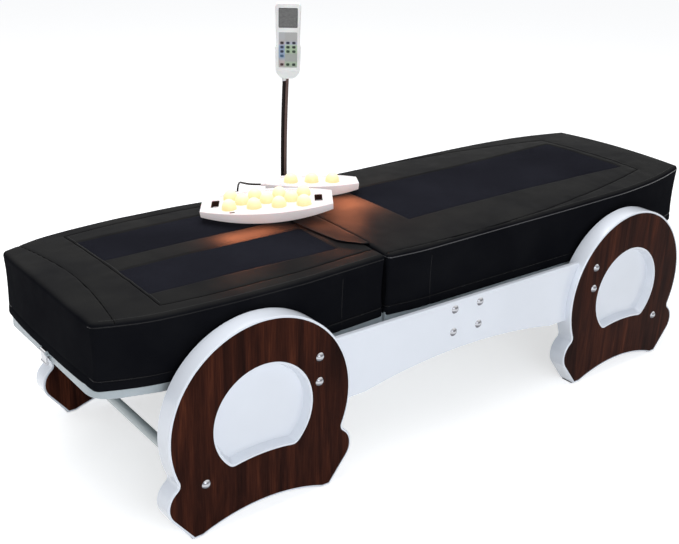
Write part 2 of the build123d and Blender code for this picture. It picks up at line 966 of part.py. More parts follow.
def make_carriage_track():
    track = None
    for x in (track_plate_low, track_plate_high):
        plate = box(
            x, x + track_plate, -carriage_half, carriage_half,
            tray_floor, rod_height + carriage_base / 2,
        )
        track = plate if track is None else track + plate
    for side in (-1, 1):
        track += rod_x(rod_radius, side * rod_offset, rod_height, track_plate_low, track_plate_high + track_plate)
        inner = pulley_width / 2 + ear_gap
        ear_low = min(side * inner, side * (inner + ear_thickness))
        track += box(
            track_plate_low, track_plate_low + track_plate,
            ear_low, ear_low + ear_thickness,
            tray_floor, pulley_height,
        )
        track += rod_y(
            track_plate / 2, track_plate_low + track_plate / 2, pulley_height,
            ear_low, ear_low + ear_thickness,
        )
    reach = pulley_width / 2 + ear_gap + ear_thickness
    track += rod_y(shaft_radius, idler_axis(), pulley_height, -reach, reach)
    save("carriage_track", track)


def idler_axis():
    return track_plate_low + track_plate / 2


def make_carriage():
    x0 = carriage_x - carriage_length / 2
    x1 = carriage_x + carriage_length / 2
    base_top = rod_height + carriage_base / 2
    body = box(x0, x1, -carriage_half, carriage_half, rod_height - carriage_base / 2, base_top)
    for side in (-1, 1):
        inner = side * (carriage_half - cheek_thickness)
        body += box(x0, x1, inner, side * carriage_half, base_top, cheek_top)
        body -= rod_x(
            rod_radius + running_gap, side * rod_offset, rod_height, x0 - overrun, x1 + overrun
        )
        for end in (-1, 1):
            body -= rod_z(
                post_radius + running_gap, carriage_x + end * post_x, side * post_offset,
                post_socket, cheek_top + overrun,
            )
    belt_top = pulley_height + pulley_radius + belt_gap + belt_thickness
    belt_under = pulley_height + pulley_radius + belt_gap
    near = belt_width / 2 + clamp_side
    c0 = carriage_x - clamp_length / 2
    c1 = carriage_x + clamp_length / 2
    top = belt_top + seat_gap + clamp_jaw
    body += box(c0, c1, near, near + clamp_thickness, base_top, top)
    body += box(c0, c1, -belt_width / 2, near, belt_top + seat_gap, top)
    body += box(c0, c1, -belt_width / 2, near, belt_under - seat_gap - clamp_jaw, belt_under - seat_gap)
    save("carriage", body)


def make_lift_frame():
    top = lift_plate_low + lift_plate
    x0 = carriage_x - carriage_length / 2
    x1 = carriage_x + carriage_length / 2
    frame = box(x0, x1, -lift_half, lift_half, lift_plate_low, top)
    for end in (-1, 1):
        axle = carriage_x + end * axle_x
        for side in (-1, 1):
            frame += rod_z(
                post_radius, carriage_x + end * post_x, side * post_offset, post_bottom, lift_plate_low
            )
            lug = side * (lift_half - lug_thickness)
            frame += box(axle - lug_length / 2, axle + lug_length / 2, lug, side * lift_half, top, lug_top)
        frame -= rod_y(axle_radius + running_gap, axle, axle_height, -lift_half - overrun, lift_half + overrun)
    save("lift_frame", frame)


def jade_roller(axle, y):
    """Barrel-shaped jade wheel on its axle, along Y."""
    half = roller_width / 2
    profile = make_face([
        Line((axle_radius, -half), (roller_end_radius, -half)),
        ThreePointArc((roller_end_radius, -half), (roller_radius, 0), (roller_end_radius, half)),
        Line((roller_end_radius, half), (axle_radius, half)),
        Line((axle_radius, half), (axle_radius, -half)),
    ])
    wheel = revolve(profile, Axis.Y)
    return Pos(axle, y, axle_height) * wheel


def make_rollers():
    for name, end in (("front_jade_rollers", -1), ("rear_jade_rollers", 1)):
        x = carriage_x + end * axle_x
        axle = rod_y(axle_radius, x, axle_height, -lift_half, lift_half)
        wheels = [jade_roller(x, side * roller_offset) for side in (-1, 1)]
        save(name, axle, *wheels)


def make_belt_drive():
    inner = pulley_radius + belt_gap
    outer = inner + belt_thickness
    idler = idler_axis()
    length = drive_x - idler
    middle = (drive_x + idler) / 2
    loop = SlotCenterToCenter(length, 2 * outer) - SlotCenterToCenter(length, 2 * inner)
    save("drive_belt", slab_xz(Pos(middle, pulley_height) * loop, -belt_width / 2, belt_width / 2))
    half = pulley_width / 2
    wheel = rod_y(pulley_radius, idler, pulley_height, -belt_width / 2, belt_width / 2)
    wheel += rod_y(hub_radius, idler, pulley_height, -half, half)
    wheel -= rod_y(shaft_radius + running_gap, idler, pulley_height, -half - overrun, half + overrun)
    save("idler_pulley", wheel)
    drive = rod_y(pulley_radius, drive_x, pulley_height, -belt_width / 2, belt_width / 2)
    drive += rod_y(hub_radius, drive_x, pulley_height, -half, half)
    drive += rod_y(shaft_radius, drive_x, pulley_height, half, motor_near + motor_foot)
    save("drive_pulley", drive)


def make_motor():
    """Geared motor whose foot stands on the tray's floor, with its shaft hole facing the belt."""
    far = motor_near + motor_length
    motor = rod_y(motor_radius, drive_x, pulley_height, motor_near, far)
    motor -= box(
        drive_x - motor_radius, track_plate_high + track_plate + seat_gap,
        -carriage_half, carriage_half,
        tray_floor, rod_height + carriage_base / 2 + seat_gap,
    )
    motor += box(
        track_plate_high + track_plate + seat_gap, drive_x + motor_radius,
        motor_near, motor_near + motor_foot,
        tray_floor, pulley_height,
    )
    motor -= rod_y(
        shaft_radius + running_gap, drive_x, pulley_height,
        motor_near - overrun, motor_near + motor_foot + running_gap,
    )
    save("drive_motor", motor)


# Control box


def make_control_box():
    x1 = box_start + box_length
    casing = box(box_start, x1, -box_half, box_half, box_low, tray_low)
    casing -= box(
        box_start + box_wall, x1 - box_wall,
        -box_half + box_wall, box_half - box_wall,
        box_low + box_wall, tray_low - box_wall,
    )
    middle = (box_low + tray_low) / 2
    casing -= box(
        x1 - 2 * box_wall, x1 + overrun,
        inlet_offset - inlet_width / 2 + inlet_flange, inlet_offset + inlet_width / 2 - inlet_flange,
        middle - inlet_height / 2 + inlet_flange, middle + inlet_height / 2 - inlet_flange,
    )
    casing -= box(
        x1 - 2 * box_wall, x1 + overrun,
        switch_offset - rocker_width / 2 - seat_gap, switch_offset + rocker_width / 2 + seat_gap,
        middle - rocker_height / 2 - seat_gap, middle + rocker_height / 2 + seat_gap,
    )
    for side in (-1, 1):
        inner = switch_offset + side * (rocker_width / 2 + seat_gap)
        outer = switch_offset + side * switch_width / 2
        casing += box(
            x1 - box_wall - rocker_depth, x1,
            inner, outer,
            middle - rocker_height / 2, middle + rocker_height / 2,
        )
    pin_x = x1 - box_wall
    casing -= rod_y(
        rocker_pin_radius + running_gap, pin_x - rocker_pin_radius, middle,
        switch_offset - switch_width / 2 - overrun, switch_offset + switch_width / 2 + overrun,
    )
    save("control_box", casing)
    make_inlet(x1, middle)
    make_rocker(pin_x - rocker_pin_radius, middle, x1)


def make_inlet(face, middle):
    inlet = box(
        face, face + inlet_flange,
        inlet_offset - inlet_width / 2, inlet_offset + inlet_width / 2,
        middle - inlet_height / 2, middle + inlet_height / 2,
    )
    inner_half = inlet_width / 2 - inlet_flange - hole_gap
    inner_high = inlet_height / 2 - inlet_flange - hole_gap
    inlet += box(
        face - inlet_depth, face,
        inlet_offset - inner_half, inlet_offset + inner_half,
        middle - inner_high, middle + inner_high,
    )
    inlet -= box(
        face + inlet_flange - inlet_depth, face + inlet_flange + overrun,
        inlet_offset - inlet_recess_width / 2, inlet_offset + inlet_recess_width / 2,
        middle - inlet_recess_height / 2, middle + inlet_recess_height / 2,
    )
    for step in (-1, 0, 1):
        pin = rod_x(
            inlet_pin_radius, inlet_offset + step * inlet_pin_pitch, middle,
            face + inlet_flange - inlet_depth - box_wall / 2,
            face + inlet_flange - inlet_depth + inlet_pin_length,
        )
        inlet += pin
    save("mains_inlet", inlet)


def make_rocker(axis_x, middle, face):
    half = rocker_width / 2
    high = rocker_height / 2 - seat_gap * 2
    sketch = polygon(
        (axis_x - rocker_depth / 2, middle - high / 2),
        (face + rocker_proud, middle - high),
        (face + rocker_proud / 2, middle),
        (face + rocker_proud, middle + high),
        (axis_x - rocker_depth / 2, middle + high / 2),
    )
    rocker = slab_xz(sketch, switch_offset - half, switch_offset + half)
    rocker = Pos(axis_x, 0, middle) * Rot(0, rocker_tilt, 0) * Pos(-axis_x, 0, -middle) * rocker
    reach = switch_width / 2 - seat_gap
    rocker += rod_y(rocker_pin_radius, axis_x, middle, switch_offset - reach, switch_offset + reach)
    save("power_rocker", rocker)


# Handset and gooseneck


def handset_base():
    return stalk_top


def to_handset(shape):
    """From the handset's own frame (face towards -Y, base at z = 0) to its place."""
    return Pos(stalk_x, rail_mid, handset_base()) * Rot(0, 0, handset_turn) * shape


def handset_outline(grow):
    top = handset_height
    low = cradle_wall
    sketch = polygon(
        (-handset_low_width / 2, low),
        (handset_low_width / 2, low),
        (handset_top_width / 2, top),
        (-handset_top_width / 2, top),
    )
    lower = sketch.vertices().sort_by(Axis.Y)[:2]
    sketch = fillet(lower, handset_low_round)
    upper = sketch.vertices().sort_by(Axis.Y)[-2:]
    sketch = fillet(upper, handset_top_round)
    return offset(sketch, amount=grow) if grow > 0 else sketch


def key_places():
    return [
        (column * key_pitch, handset_height - depth)
        for depth, columns in key_rows
        for column in columns
    ]


def rounded_plate(width, height, round_radius, x, z, near, far):
    return slab_xz(Pos(x, z) * RectangleRounded(width, height, round_radius), near, far)


def make_handset():
    front = -handset_thickness / 2
    back = handset_thickness / 2
    shell = slab_xz(handset_outline(0), front, back)
    rims = shell.faces().filter_by(Axis.Y).edges()
    shell = fillet(rims, cradle_wall)
    screen_z = handset_height - screen_top - screen_height / 2
    pad_z = handset_height - pad_top - pad_height / 2
    shell -= rounded_plate(
        screen_width, screen_height, key_round, 0, screen_z, front - overrun, front + screen_thickness
    )
    shell -= rounded_plate(
        pad_width, pad_height, key_round, 0, pad_z, front - overrun, front + pad_thickness
    )
    shell -= rod_z(cable_radius + hole_gap, 0, 0, cradle_wall - overrun, cradle_wall + handset_low_round / 2)
    overlay = rounded_plate(
        pad_width - seat_gap, pad_height - seat_gap, key_round, 0, pad_z, front, front + pad_thickness
    )
    window = rounded_plate(
        screen_width - seat_gap, screen_height - seat_gap, key_round, 0, screen_z,
        front + seat_gap, front + screen_thickness,
    )
    for index, (x, z) in enumerate(key_places(), start=1):
        well = rounded_plate(
            key_width + 2 * seat_gap, key_height + 2 * seat_gap, key_round + seat_gap, x, z,
            front - overrun, front + key_well,
        )
        shell -= well
        overlay -= well
        key = rounded_plate(
            key_width, key_height, key_round, x, z, front - key_proud, front - key_proud + key_thickness
        )
        save("key_%02d" % index, to_handset(key))
    save("handset", to_handset(shell))
    save("handset_face", to_handset(window), to_handset(overlay))


def make_cradle():
    back = handset_thickness / 2 + cradle_gap + cradle_wall
    front = -handset_thickness / 2 - cradle_gap - cradle_lip
    window = slab_xz(
        Pos(0, cradle_height / 2) * Rectangle(2 * handset_top_width, cradle_height), front, back
    )
    cradle = slab_xz(handset_outline(cradle_gap + cradle_wall), front, back) & window
    pocket_near = -handset_thickness / 2 - cradle_gap
    pocket_far = handset_thickness / 2 + cradle_gap
    hollow = slab_xz(handset_outline(cradle_gap), pocket_near, pocket_far)
    cradle -= hollow
    view = handset_outline(0)
    view &= Pos(0, cradle_lip_height + cradle_height) * Rectangle(
        pad_width + 2 * cradle_gap, 2 * cradle_height
    )
    cradle -= slab_xz(view, front - overrun, pocket_near + overrun)
    cradle -= rod_z(cable_exit_radius, 0, 0, -cradle_height, cradle_height / 2)
    bore = stalk_radius + stalk_gap
    cradle += rod_z(bore + clip_wall, stalk_shift(), 0, -clip_height, cradle_gap)
    cradle -= rod_z(bore, stalk_shift(), 0, -clip_height - overrun, cradle_gap + overrun)
    cradle -= rod_z(cable_radius + hole_gap, 0, 0, -clip_height - overrun, cradle_height / 2)
    save("handset_cradle", to_handset(cradle))


def stalk_shift():
    """Sideways place of the gooseneck beside the cable, in the handset's own frame."""
    return -cable_offset


def stalk_point():
    turn = math.radians(handset_turn)
    return (stalk_x + stalk_shift() * math.cos(turn), rail_mid + stalk_shift() * math.sin(turn))


def stalk_arc(x, y, low, high):
    """A slightly swayed upright line, as an arc, from the rail to the cradle."""
    middle = (low + high) / 2
    return ThreePointArc((x, y, low), (x - stalk_sway, y, middle), (x, y, high))


def tube_along(path, radius):
    section = Plane(origin=path @ 0, z_dir=path % 0) * Circle(radius)
    return sweep(section, path=path)


def make_gooseneck():
    x, y = stalk_point()
    low = rail_top + stalk_base_height
    path = stalk_arc(x, y, low, stalk_top)
    neck = tube_along(path, stalk_radius)
    base = box(
        stalk_x - stalk_base_length / 2, stalk_x + stalk_base_length / 2,
        rail_far - stalk_jaw, rail_near + stalk_jaw,
        rail_top - stalk_jaw_depth, rail_top + stalk_base_height,
    )
    base -= box(
        stalk_x - stalk_base_length, stalk_x + stalk_base_length,
        rail_far, rail_near,
        rail_top - stalk_jaw_depth - overrun, rail_top,
    )
    base -= rod_z(
        cable_radius + cable_gap, stalk_x, rail_mid,
        rail_top - overrun, rail_top + stalk_base_height + overrun,
    )
    save("gooseneck", neck + base)
    cable = stalk_arc(stalk_x, rail_mid, rail_top + hole_gap, stalk_top + cradle_wall)
    save("handset_cable", tube_along(cable, cable_radius))


# Projectors


def boat_half(x, length, width, end_width):
    """Half width of a boat-shaped deck at a place along it; its sides are arcs."""
    bow = (width - end_width) / 2
    radius = (length * length / 4 + bow * bow) / (2 * bow)
    return width / 2 - radius + math.sqrt(radius * radius - x * x)


def boat_outline(length, width, end_width):
    half = length / 2
    side = width / 2
    end = end_width / 2
    near = ThreePointArc((-half, -end), (0, -side), (half, -end))
    far = ThreePointArc((half, end), (0, side), (-half, end))
    head = Line((half, -end), (half, end))
    foot = Line((-half, end), (-half, -end))
    return make_face([near, head, far, foot])


def keel_height(x, length, height):
    """Height of the underside, which rises towards both ends."""
    return height * projector_rocker_share * (2 * x / length) ** 2


def projector_section(x, half, low, high):
    foot = half * projector_foot_share
    bilge = half * projector_bilge_share
    middle = low + (high - low) * projector_bilge_height_share
    near = ThreePointArc((-half, high), (-bilge, middle), (-foot, low))
    keel = Line((-foot, low), (foot, low))
    far = ThreePointArc((foot, low), (bilge, middle), (half, high))
    top = Line((half, high), (-half, high))
    return Plane.YZ.offset(x) * make_face([near, keel, far, top])


def ball_places(rows, pitch, row_pitch):
    places = []
    for row, count in enumerate(rows):
        y = (row - (len(rows) - 1) / 2) * row_pitch
        places += [((column - (count - 1) / 2) * pitch, y) for column in range(count)]
    return places


def ball_height(height):
    return height - projector_recess - ball_sink


def projector(length, width, height, end_width, balls):
    """Boat-shaped lamp body with a sunk cover round its ball seats."""
    sections = []
    for share in projector_station_shares:
        x = share * length / 2
        half = boat_half(x, length, width, end_width)
        sections.append(projector_section(x, half, keel_height(x, length, height), height))
    body = loft(sections)
    reach = max(x for x, _y in balls) + ball_radius + projector_margin / 2
    sunk = boat_outline(length, width - 2 * projector_margin, end_width - 2 * projector_margin)
    sunk &= Rectangle(2 * reach, width)
    body -= slab_xy(sunk, height - projector_recess, height + overrun)
    for x, y in balls:
        body -= Pos(x, y, ball_height(height)) * Sphere(ball_radius + seat_gap)
    return body


def grip_slot(side, height):
    slot = RectangleRounded(grip_slot_width, grip_slot_length, grip_slot_width / 4)
    return slab_xy(Pos(side * grip_slot_place, 0) * slot, -overrun, height + overrun)


def gland(angle, root):
    return Pos(*root) * Rot(0, 0, angle) * rod_x(gland_radius, 0, 0, -gland_length / 2, gland_length)


def crown_height(x, y):
    """Height of the mats' tops, and of the flap on them, at a place near the junction."""
    half = head_plan_shares[0][1] * mat_half_width
    rise = max(0, (x - head_mat_start) / (mat_reach - head_mat_start)) * head_end_rise
    flap = flap_lift + flap_thickness if flap_start < x < head_mat_start and abs(y) < flap_half else 0
    return mat_edge + rise + mat_crown * (1 - (y / half) ** 2) + flap


def resting_place(centre, turn, tilt, length, width, height, end_width):
    """Where a projector lies: its keel comes down on the highest spots under it."""
    pose = Rot(0, 0, turn) * Rot(0, -tilt, 0)
    drops = []
    for step in range(-keel_step_count, keel_step_count + 1):
        x = step / keel_step_count * length / 2
        foot = boat_half(x, length, width, end_width) * projector_foot_share
        for y in (-foot, 0, foot):
            spot = (pose * Pos(x, y, keel_height(x, length, height))).position
            drops.append(crown_height(centre[0] + spot.X, centre[1] + spot.Y) - spot.Z)
    return Pos(centre[0], centre[1], max(drops) + projector_gap) * pose


def front_place():
    return resting_place(
        front_centre, front_turn, front_tilt, front_length, front_width, front_height, front_end_width
    )


def rear_place():
    return resting_place(
        rear_centre, rear_turn, 0, rear_length, rear_width, rear_height, rear_end_width
    )


def rear_gland_root():
    return (-rear_length / 2, 0, rear_gland_height)


def gland_lead_points(place, angle, root):
    """Middle of a cord gland's mouth, and the end of the cord's straight run from it."""
    way = place * Pos(*root) * Rot(0, 0, angle)
    return [tuple((way * Pos(reach, 0, 0)).position) for reach in (gland_length, gland_length + gland_lead)]


def make_projectors():
    balls = ball_places(front_ball_rows, front_ball_pitch, front_row_pitch)
    front = projector(front_length, front_width, front_height, front_end_width, balls)
    for side in (-1, 1):
        front -= grip_slot(side, front_height)
    x, y = lamp_socket
    mouth = Pos(x, y) * Rectangle(lamp_socket_length, lamp_socket_width)
    front -= slab_xy(mouth, front_height - lamp_socket_depth, front_height + overrun)
    front += gland(front_gland_angle, front_gland_root)
    save("front_projector", front_place() * front)
    jade = [Pos(x, y, ball_height(front_height)) * Sphere(ball_radius) for x, y in balls]
    save("front_projector_balls", *[front_place() * ball for ball in jade])
    balls = ball_places(rear_ball_rows, rear_ball_pitch, 0)
    rear = projector(rear_length, rear_width, rear_height, rear_end_width, balls)
    rear += gland(rear_gland_angle, rear_gland_root())
    save("rear_projector", rear_place() * rear)
    jade = [Pos(x, y, ball_height(rear_height)) * Sphere(ball_radius) for x, y in balls]
    save("rear_projector_balls", *[rear_place() * ball for ball in jade])


# Cords


def corner_radii(points):
    """Arc radius at each inner corner, and each arc's turn in radians."""
    runs = [end - start for start, end in zip(points, points[1:])]
    radii = []
    turns = []
    for before, after in zip(runs, runs[1:]):
        turn = math.radians(before.get_angle(after))
        radii.append(arc_share * min(before.length, after.length) / math.tan(turn / 2))
        turns.append(turn)
    return radii, turns


def cord(name, lead, route, end):
    points = [Vector(point) for point in (*lead, *route, end)]
    radii, turns = corner_radii(points)
    path = FilletPolyline(*points, radius=radii)
    tube = tube_along(path, cord_radius)
    section = math.pi * cord_radius**2
    print(name, "starts", [[round(part, 3) for part in point] for point in lead])
    print(name, "length", round(path.length, 1), "tightest", round(min(radii), 1))
    print(name, "volume over section times length", round(tube.volume / (section * path.length), 4))
    print(name, "sharpest turn", round(math.degrees(max(turns)), 1))
    save(name, tube)


def socket_mouth(side):
    middle = rail_near + socket_depth / 2
    return (socket_x + side * socket_pitch / 2, middle, socket_low - gland_length)


def make_cords():
    lead = gland_lead_points(front_place(), front_gland_angle, front_gland_root)
    cord("front_projector_cord", lead, front_cord_route, socket_mouth(1))
    lead = gland_lead_points(rear_place(), rear_gland_angle, rear_gland_root())
    cord("rear_projector_cord", lead, rear_cord_route, socket_mouth(-1))


def make_sockets():
    block = box(
        socket_x - socket_length / 2, socket_x + socket_length / 2,
        rail_near, rail_near + socket_depth,
        socket_low, socket_low + socket_height,
    )
    outer = block.faces().sort_by(Axis.Y)[-1].edges()
    block = chamfer(outer, rim_chamfer)
    for side in (-1, 1):
        x, y, low = socket_mouth(side)
        block += rod_z(gland_radius, x, y, low, socket_low)
    save("accessory_sockets", block)


def main():
    os.makedirs("parts", exist_ok=True)
    make_legs()
    make_glides()
    make_rails()
    make_bolts()
    make_cross_tubes()
    make_crossbeams()
    make_tray_tracks()
    make_foot_mat()
    make_head_mat()
    make_flap()
    make_foot_tray()
    make_latch()
    make_head_tray()
    make_carriage_track()
    make_carriage()
    make_lift_frame()
    make_rollers()
    make_belt_drive()
    make_motor()
    make_control_box()
    make_handset()
    make_cradle()
    make_gooseneck()
    make_projectors()
    make_sockets()
    make_cords()


main()
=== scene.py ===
import json
from math import copysign, cos, exp, hypot, pi, radians, sin, sqrt

import bmesh
import bpy
from mathutils import Matrix, Vector, noise

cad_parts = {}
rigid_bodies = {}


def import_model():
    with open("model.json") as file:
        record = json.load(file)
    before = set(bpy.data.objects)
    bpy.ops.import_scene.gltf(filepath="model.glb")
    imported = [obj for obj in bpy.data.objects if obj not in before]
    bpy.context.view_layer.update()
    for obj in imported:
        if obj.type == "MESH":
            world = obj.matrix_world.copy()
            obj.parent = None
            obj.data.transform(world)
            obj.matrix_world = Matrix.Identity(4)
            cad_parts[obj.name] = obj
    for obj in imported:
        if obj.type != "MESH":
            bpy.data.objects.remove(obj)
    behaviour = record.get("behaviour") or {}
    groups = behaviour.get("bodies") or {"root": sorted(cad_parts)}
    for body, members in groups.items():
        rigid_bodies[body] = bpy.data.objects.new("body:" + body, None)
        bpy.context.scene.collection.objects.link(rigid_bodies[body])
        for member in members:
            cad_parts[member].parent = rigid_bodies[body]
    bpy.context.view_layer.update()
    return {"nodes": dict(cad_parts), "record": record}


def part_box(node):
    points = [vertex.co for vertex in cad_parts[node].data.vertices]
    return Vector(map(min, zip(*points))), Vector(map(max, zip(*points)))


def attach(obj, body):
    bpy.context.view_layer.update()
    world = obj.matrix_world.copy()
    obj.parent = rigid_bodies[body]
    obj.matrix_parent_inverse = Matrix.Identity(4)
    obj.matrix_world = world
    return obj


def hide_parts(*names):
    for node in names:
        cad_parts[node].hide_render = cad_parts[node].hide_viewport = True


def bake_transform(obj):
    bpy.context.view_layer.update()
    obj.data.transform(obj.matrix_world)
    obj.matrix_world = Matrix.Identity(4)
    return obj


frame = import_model()

MM = 0.001

# The photograph's camera in the bed's frame, with its yaw, its pitch down and its roll
IMAGE_WIDTH = 679
FOCAL_PIXELS = 1029.72
SENSOR = 36.0
CAMERA_PLACE = (-1.6928, -1.9793, 1.3998)
CAMERA_TURN = (37.99, 22.54, 1.67)

# Mats, in metres
MAT_REACH = 0.96
MAT_HALF = 0.297
MAT_BOTTOM = 0.366
MAT_EDGE = 0.517
MAT_CROWN = 0.008
MAT_DRAW = 0.0035
SKIRT_BOTTOM = 0.3595
SKIRT_THICK = 0.0042
SKIRT_ROLL = 0.0004
HEM_HEIGHT = 0.022
TRENCH_START = -0.008
TRENCH_HALF = 0.078
TRENCH_TOP = 0.5195
TRENCH_BEYOND_TRACK = 0.074
FOOT_DROP = 0.004
HEAD_RISE = 0.014
FOOT_MAT_END = -0.229
HEAD_MAT_START = -0.223
EDGE_ROUND = 0.011
CORNER_ROUND = 0.011
FOOT_BOW = 0.009
FOOT_BOW_START = -0.86
FOOT_BOW_HALF = 0.24
CELL = 0.0034
SIDE_CELLS = 9
HEM_DRAW = (0.002, 0.0022)
LIP_DRAW = 0.0012
SIDE_SEAM_DRAW = (0.0016, 0.004)
SIDE_EASE = (0.0013, 0.0005)
EDGE_STEPS = (0.0, 0.0007, 0.002, 0.0042, 0.0072, EDGE_ROUND)
CORNER_STEPS = (0.0, 0.0004, 0.0014, 0.0034, 0.007, CORNER_ROUND)

# Shares of a mat's length, with the shares of its half width and of its drop or rise there
FOOT_PLAN_SHARES = (
    (0, 0.8, 1), (0.075, 0.868, 0.85), (0.185, 0.94, 0.6), (0.29, 0.972, 0.35),
    (0.46, 0.997, 0.05), (0.64, 1, 0), (0.82, 0.973, 0), (1, 0.946, 0),
)
HEAD_PLAN_SHARES = (
    (0, 0.953, 0), (0.105, 0.988, 0.1), (0.31, 0.987, 0.31), (0.5, 0.99, 0.5),
    (0.7, 0.98, 0.7), (0.82, 0.94, 0.82), (0.9, 0.885, 0.9), (1, 0.78, 1),
)

# Shares of the way from the mat's rim down to its skirt's lower edge
SIDE_HEIGHTS = (
    0.012, 0.03, 0.06, 0.12, 0.2, 0.29, 0.38, 0.47, 0.56, 0.65, 0.73, 0.79, 0.825, 0.843, 0.857, 0.875,
    0.91, 0.95, 0.98, 1.0,
)

# Softness of the padding and depth of the seams in it, in metres
EASE = (0.0012, 0.0004)
EASE_RIM = 0.03
PUCKER = 0.0013
PUCKER_REACH = 0.026
SEAM_HALF = 0.0026
SEAM_DEPTH = 0.003
SEAM_VALLEY = 0.4 * SEAM_DEPTH
SEAM_VALLEY_REACH = 0.011
SEAM_STEPS = (-0.0045, -0.0022, 0.0, 0.0022, 0.0045)

# Seams and panels, in metres
FOOT_SEAM_INSET = 0.044
FOOT_SEAM = -0.7985
FOOT_ARC = (-0.912, -0.882)
FOOT_ARC_HALF = 0.253
FOOT_ARC_DEPTH = FOOT_ARC[1] - FOOT_ARC[0]
FOOT_ARC_RADIUS = (FOOT_ARC_HALF**2 + FOOT_ARC_DEPTH**2) / (2 * FOOT_ARC_DEPTH)
FOOT_ARC_MIDDLE = FOOT_ARC[1] - FOOT_ARC_RADIUS
HEAD_SEAM = 0.8175
HEAD_SIDE_SEAM = ((HEAD_MAT_START, 0.268), (0.48, 0.256), (0.816, 0.19))
SIDE_SEAMS = {"foot": -0.359, "head": -0.091}
PANEL_SINK = 0.003
PANEL_SLOPE = 0.006
STRIPE = (-0.792, -0.305)
STRIPE_SIDES = (0.036, 0.18)
STRIPE_SPREAD = 0.01
PANEL = (-0.032, 0.792)
PANEL_ARC = ((-0.032, 0.134), (0.25, 0.131), (0.792, 0.146))
PATCH_CELL = 0.006
PATCH_RIM = 0.003
PATCH_THICK = 0.0008

# Radii of the piping, welts, cords and stitches with their places, in metres
PIPING, PIPING_INSET = 0.0016, 0.0012
HEM_WELT, HEM_WELT_INSET = 0.0012, 0.0026
SIDE_WELT, SIDE_WELT_INSET = 0.001, 0.0004
SEAM_CORD, SEAM_CORD_RISE = 0.0008, 0.0006
SEAM_CORD_STEP = 0.008
STITCH, STITCH_RISE = 0.00045, 0.0002
STITCH_SPACING = 0.0045
STITCH_LENGTH = STITCH_SPACING * 0.62

# Flap over the joint of the mats, in metres
FLAP_START = -0.3
FLAP_BOW = 0.016
FLAP_HALF = 0.214
FLAP_SHOULDER = 0.16
FLAP_LIFT = 0.0009
FLAP_THICK = 0.003
FLAP_TAB = 0.04
FLAP_GAP = 0.0008
FLAP_TIP = 0.01
FLAP_RIM = 0.02
FLAP_CURL = 0.0012
FLAP_RIPPLE = 0.0008
FLAP_LEATHER = 0.002
FLAP_STITCH_INSET = 0.004

SIDES = (("near", -1), ("far", 1))


# Objects and meshes


def placed(name, data):
    """A new object of the scene."""
    made = bpy.data.objects.new(name, data)
    bpy.context.scene.collection.objects.link(made)
    return made


def add_piece(name, data, body, material):
    """A piece of the bed that rides on a body."""
    piece = placed(name, data)
    data.materials.append(material)
    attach(piece, body)
    return piece


def thicken(piece, thickness):
    solid = piece.modifiers.new("thickness", "SOLIDIFY")
    solid.thickness = thickness


def evaluated_mesh(piece):
    """The mesh that a piece's curve or modifiers make."""
    bpy.context.view_layer.update()
    graph = bpy.context.evaluated_depsgraph_get()
    return bpy.data.meshes.new_from_object(piece.evaluated_get(graph))


def plain_mesh(name, points, faces):
    mesh = bpy.data.meshes.new(name)
    mesh.from_pydata(points, [], faces)
    mesh.update()
    return mesh


def closed_mesh(name, points, faces):
    """A mesh round a solid, whose faces all look out of it."""
    mesh = plain_mesh(name, points, faces)
    shaped = bmesh.new()
    shaped.from_mesh(mesh)
    bmesh.ops.recalc_face_normals(shaped, faces=shaped.faces)
    shaped.to_mesh(mesh)
    shaped.free()
    return mesh


def sheet_mesh(name, points, columns):
    """A smooth open mesh of rows of points, whose first face looks up."""
    mesh = plain_mesh(name, points, grid_faces(len(points) // columns, columns))
    if mesh.polygons[0].normal.z < 0:
        mesh.flip_normals()
    mesh.shade_smooth()
    return mesh


def grid_faces(rows, columns):
    """Faces between rows of points that are numbered one row after the other."""
    return [
        (i * columns + j, (i + 1) * columns + j, (i + 1) * columns + j + 1, i * columns + j + 1)
        for i in range(rows - 1) for j in range(columns - 1)
    ]


def band_faces(upper, lower):
    """Faces between two closed loops of point numbers."""
    following = [*range(1, len(upper)), 0]
    return [(upper[k], lower[k], lower[n], upper[n]) for k, n in enumerate(following)]


def spaced(start, end, step):
    count = max(2, round((end - start) / step))
    return [start + (end - start) * i / count for i in range(count + 1)]


# Shader building blocks

WAVE_PITCH = 0.314


def add_node(tree, kind, inputs=None, **settings):
    """A new node with its settings made, and its inputs linked or given their values."""
    made = tree.nodes.new("ShaderNode" + kind)
    for key, value in settings.items():
        setattr(made, key, value)
    for socket, value in (inputs or {}).items():
        target = made.inputs[socket]
        if isinstance(value, bpy.types.NodeSocket):
            tree.links.new(value, target)
        else:
            target.default_value = (*value, 1) if target.type == "RGBA" else value
    return made


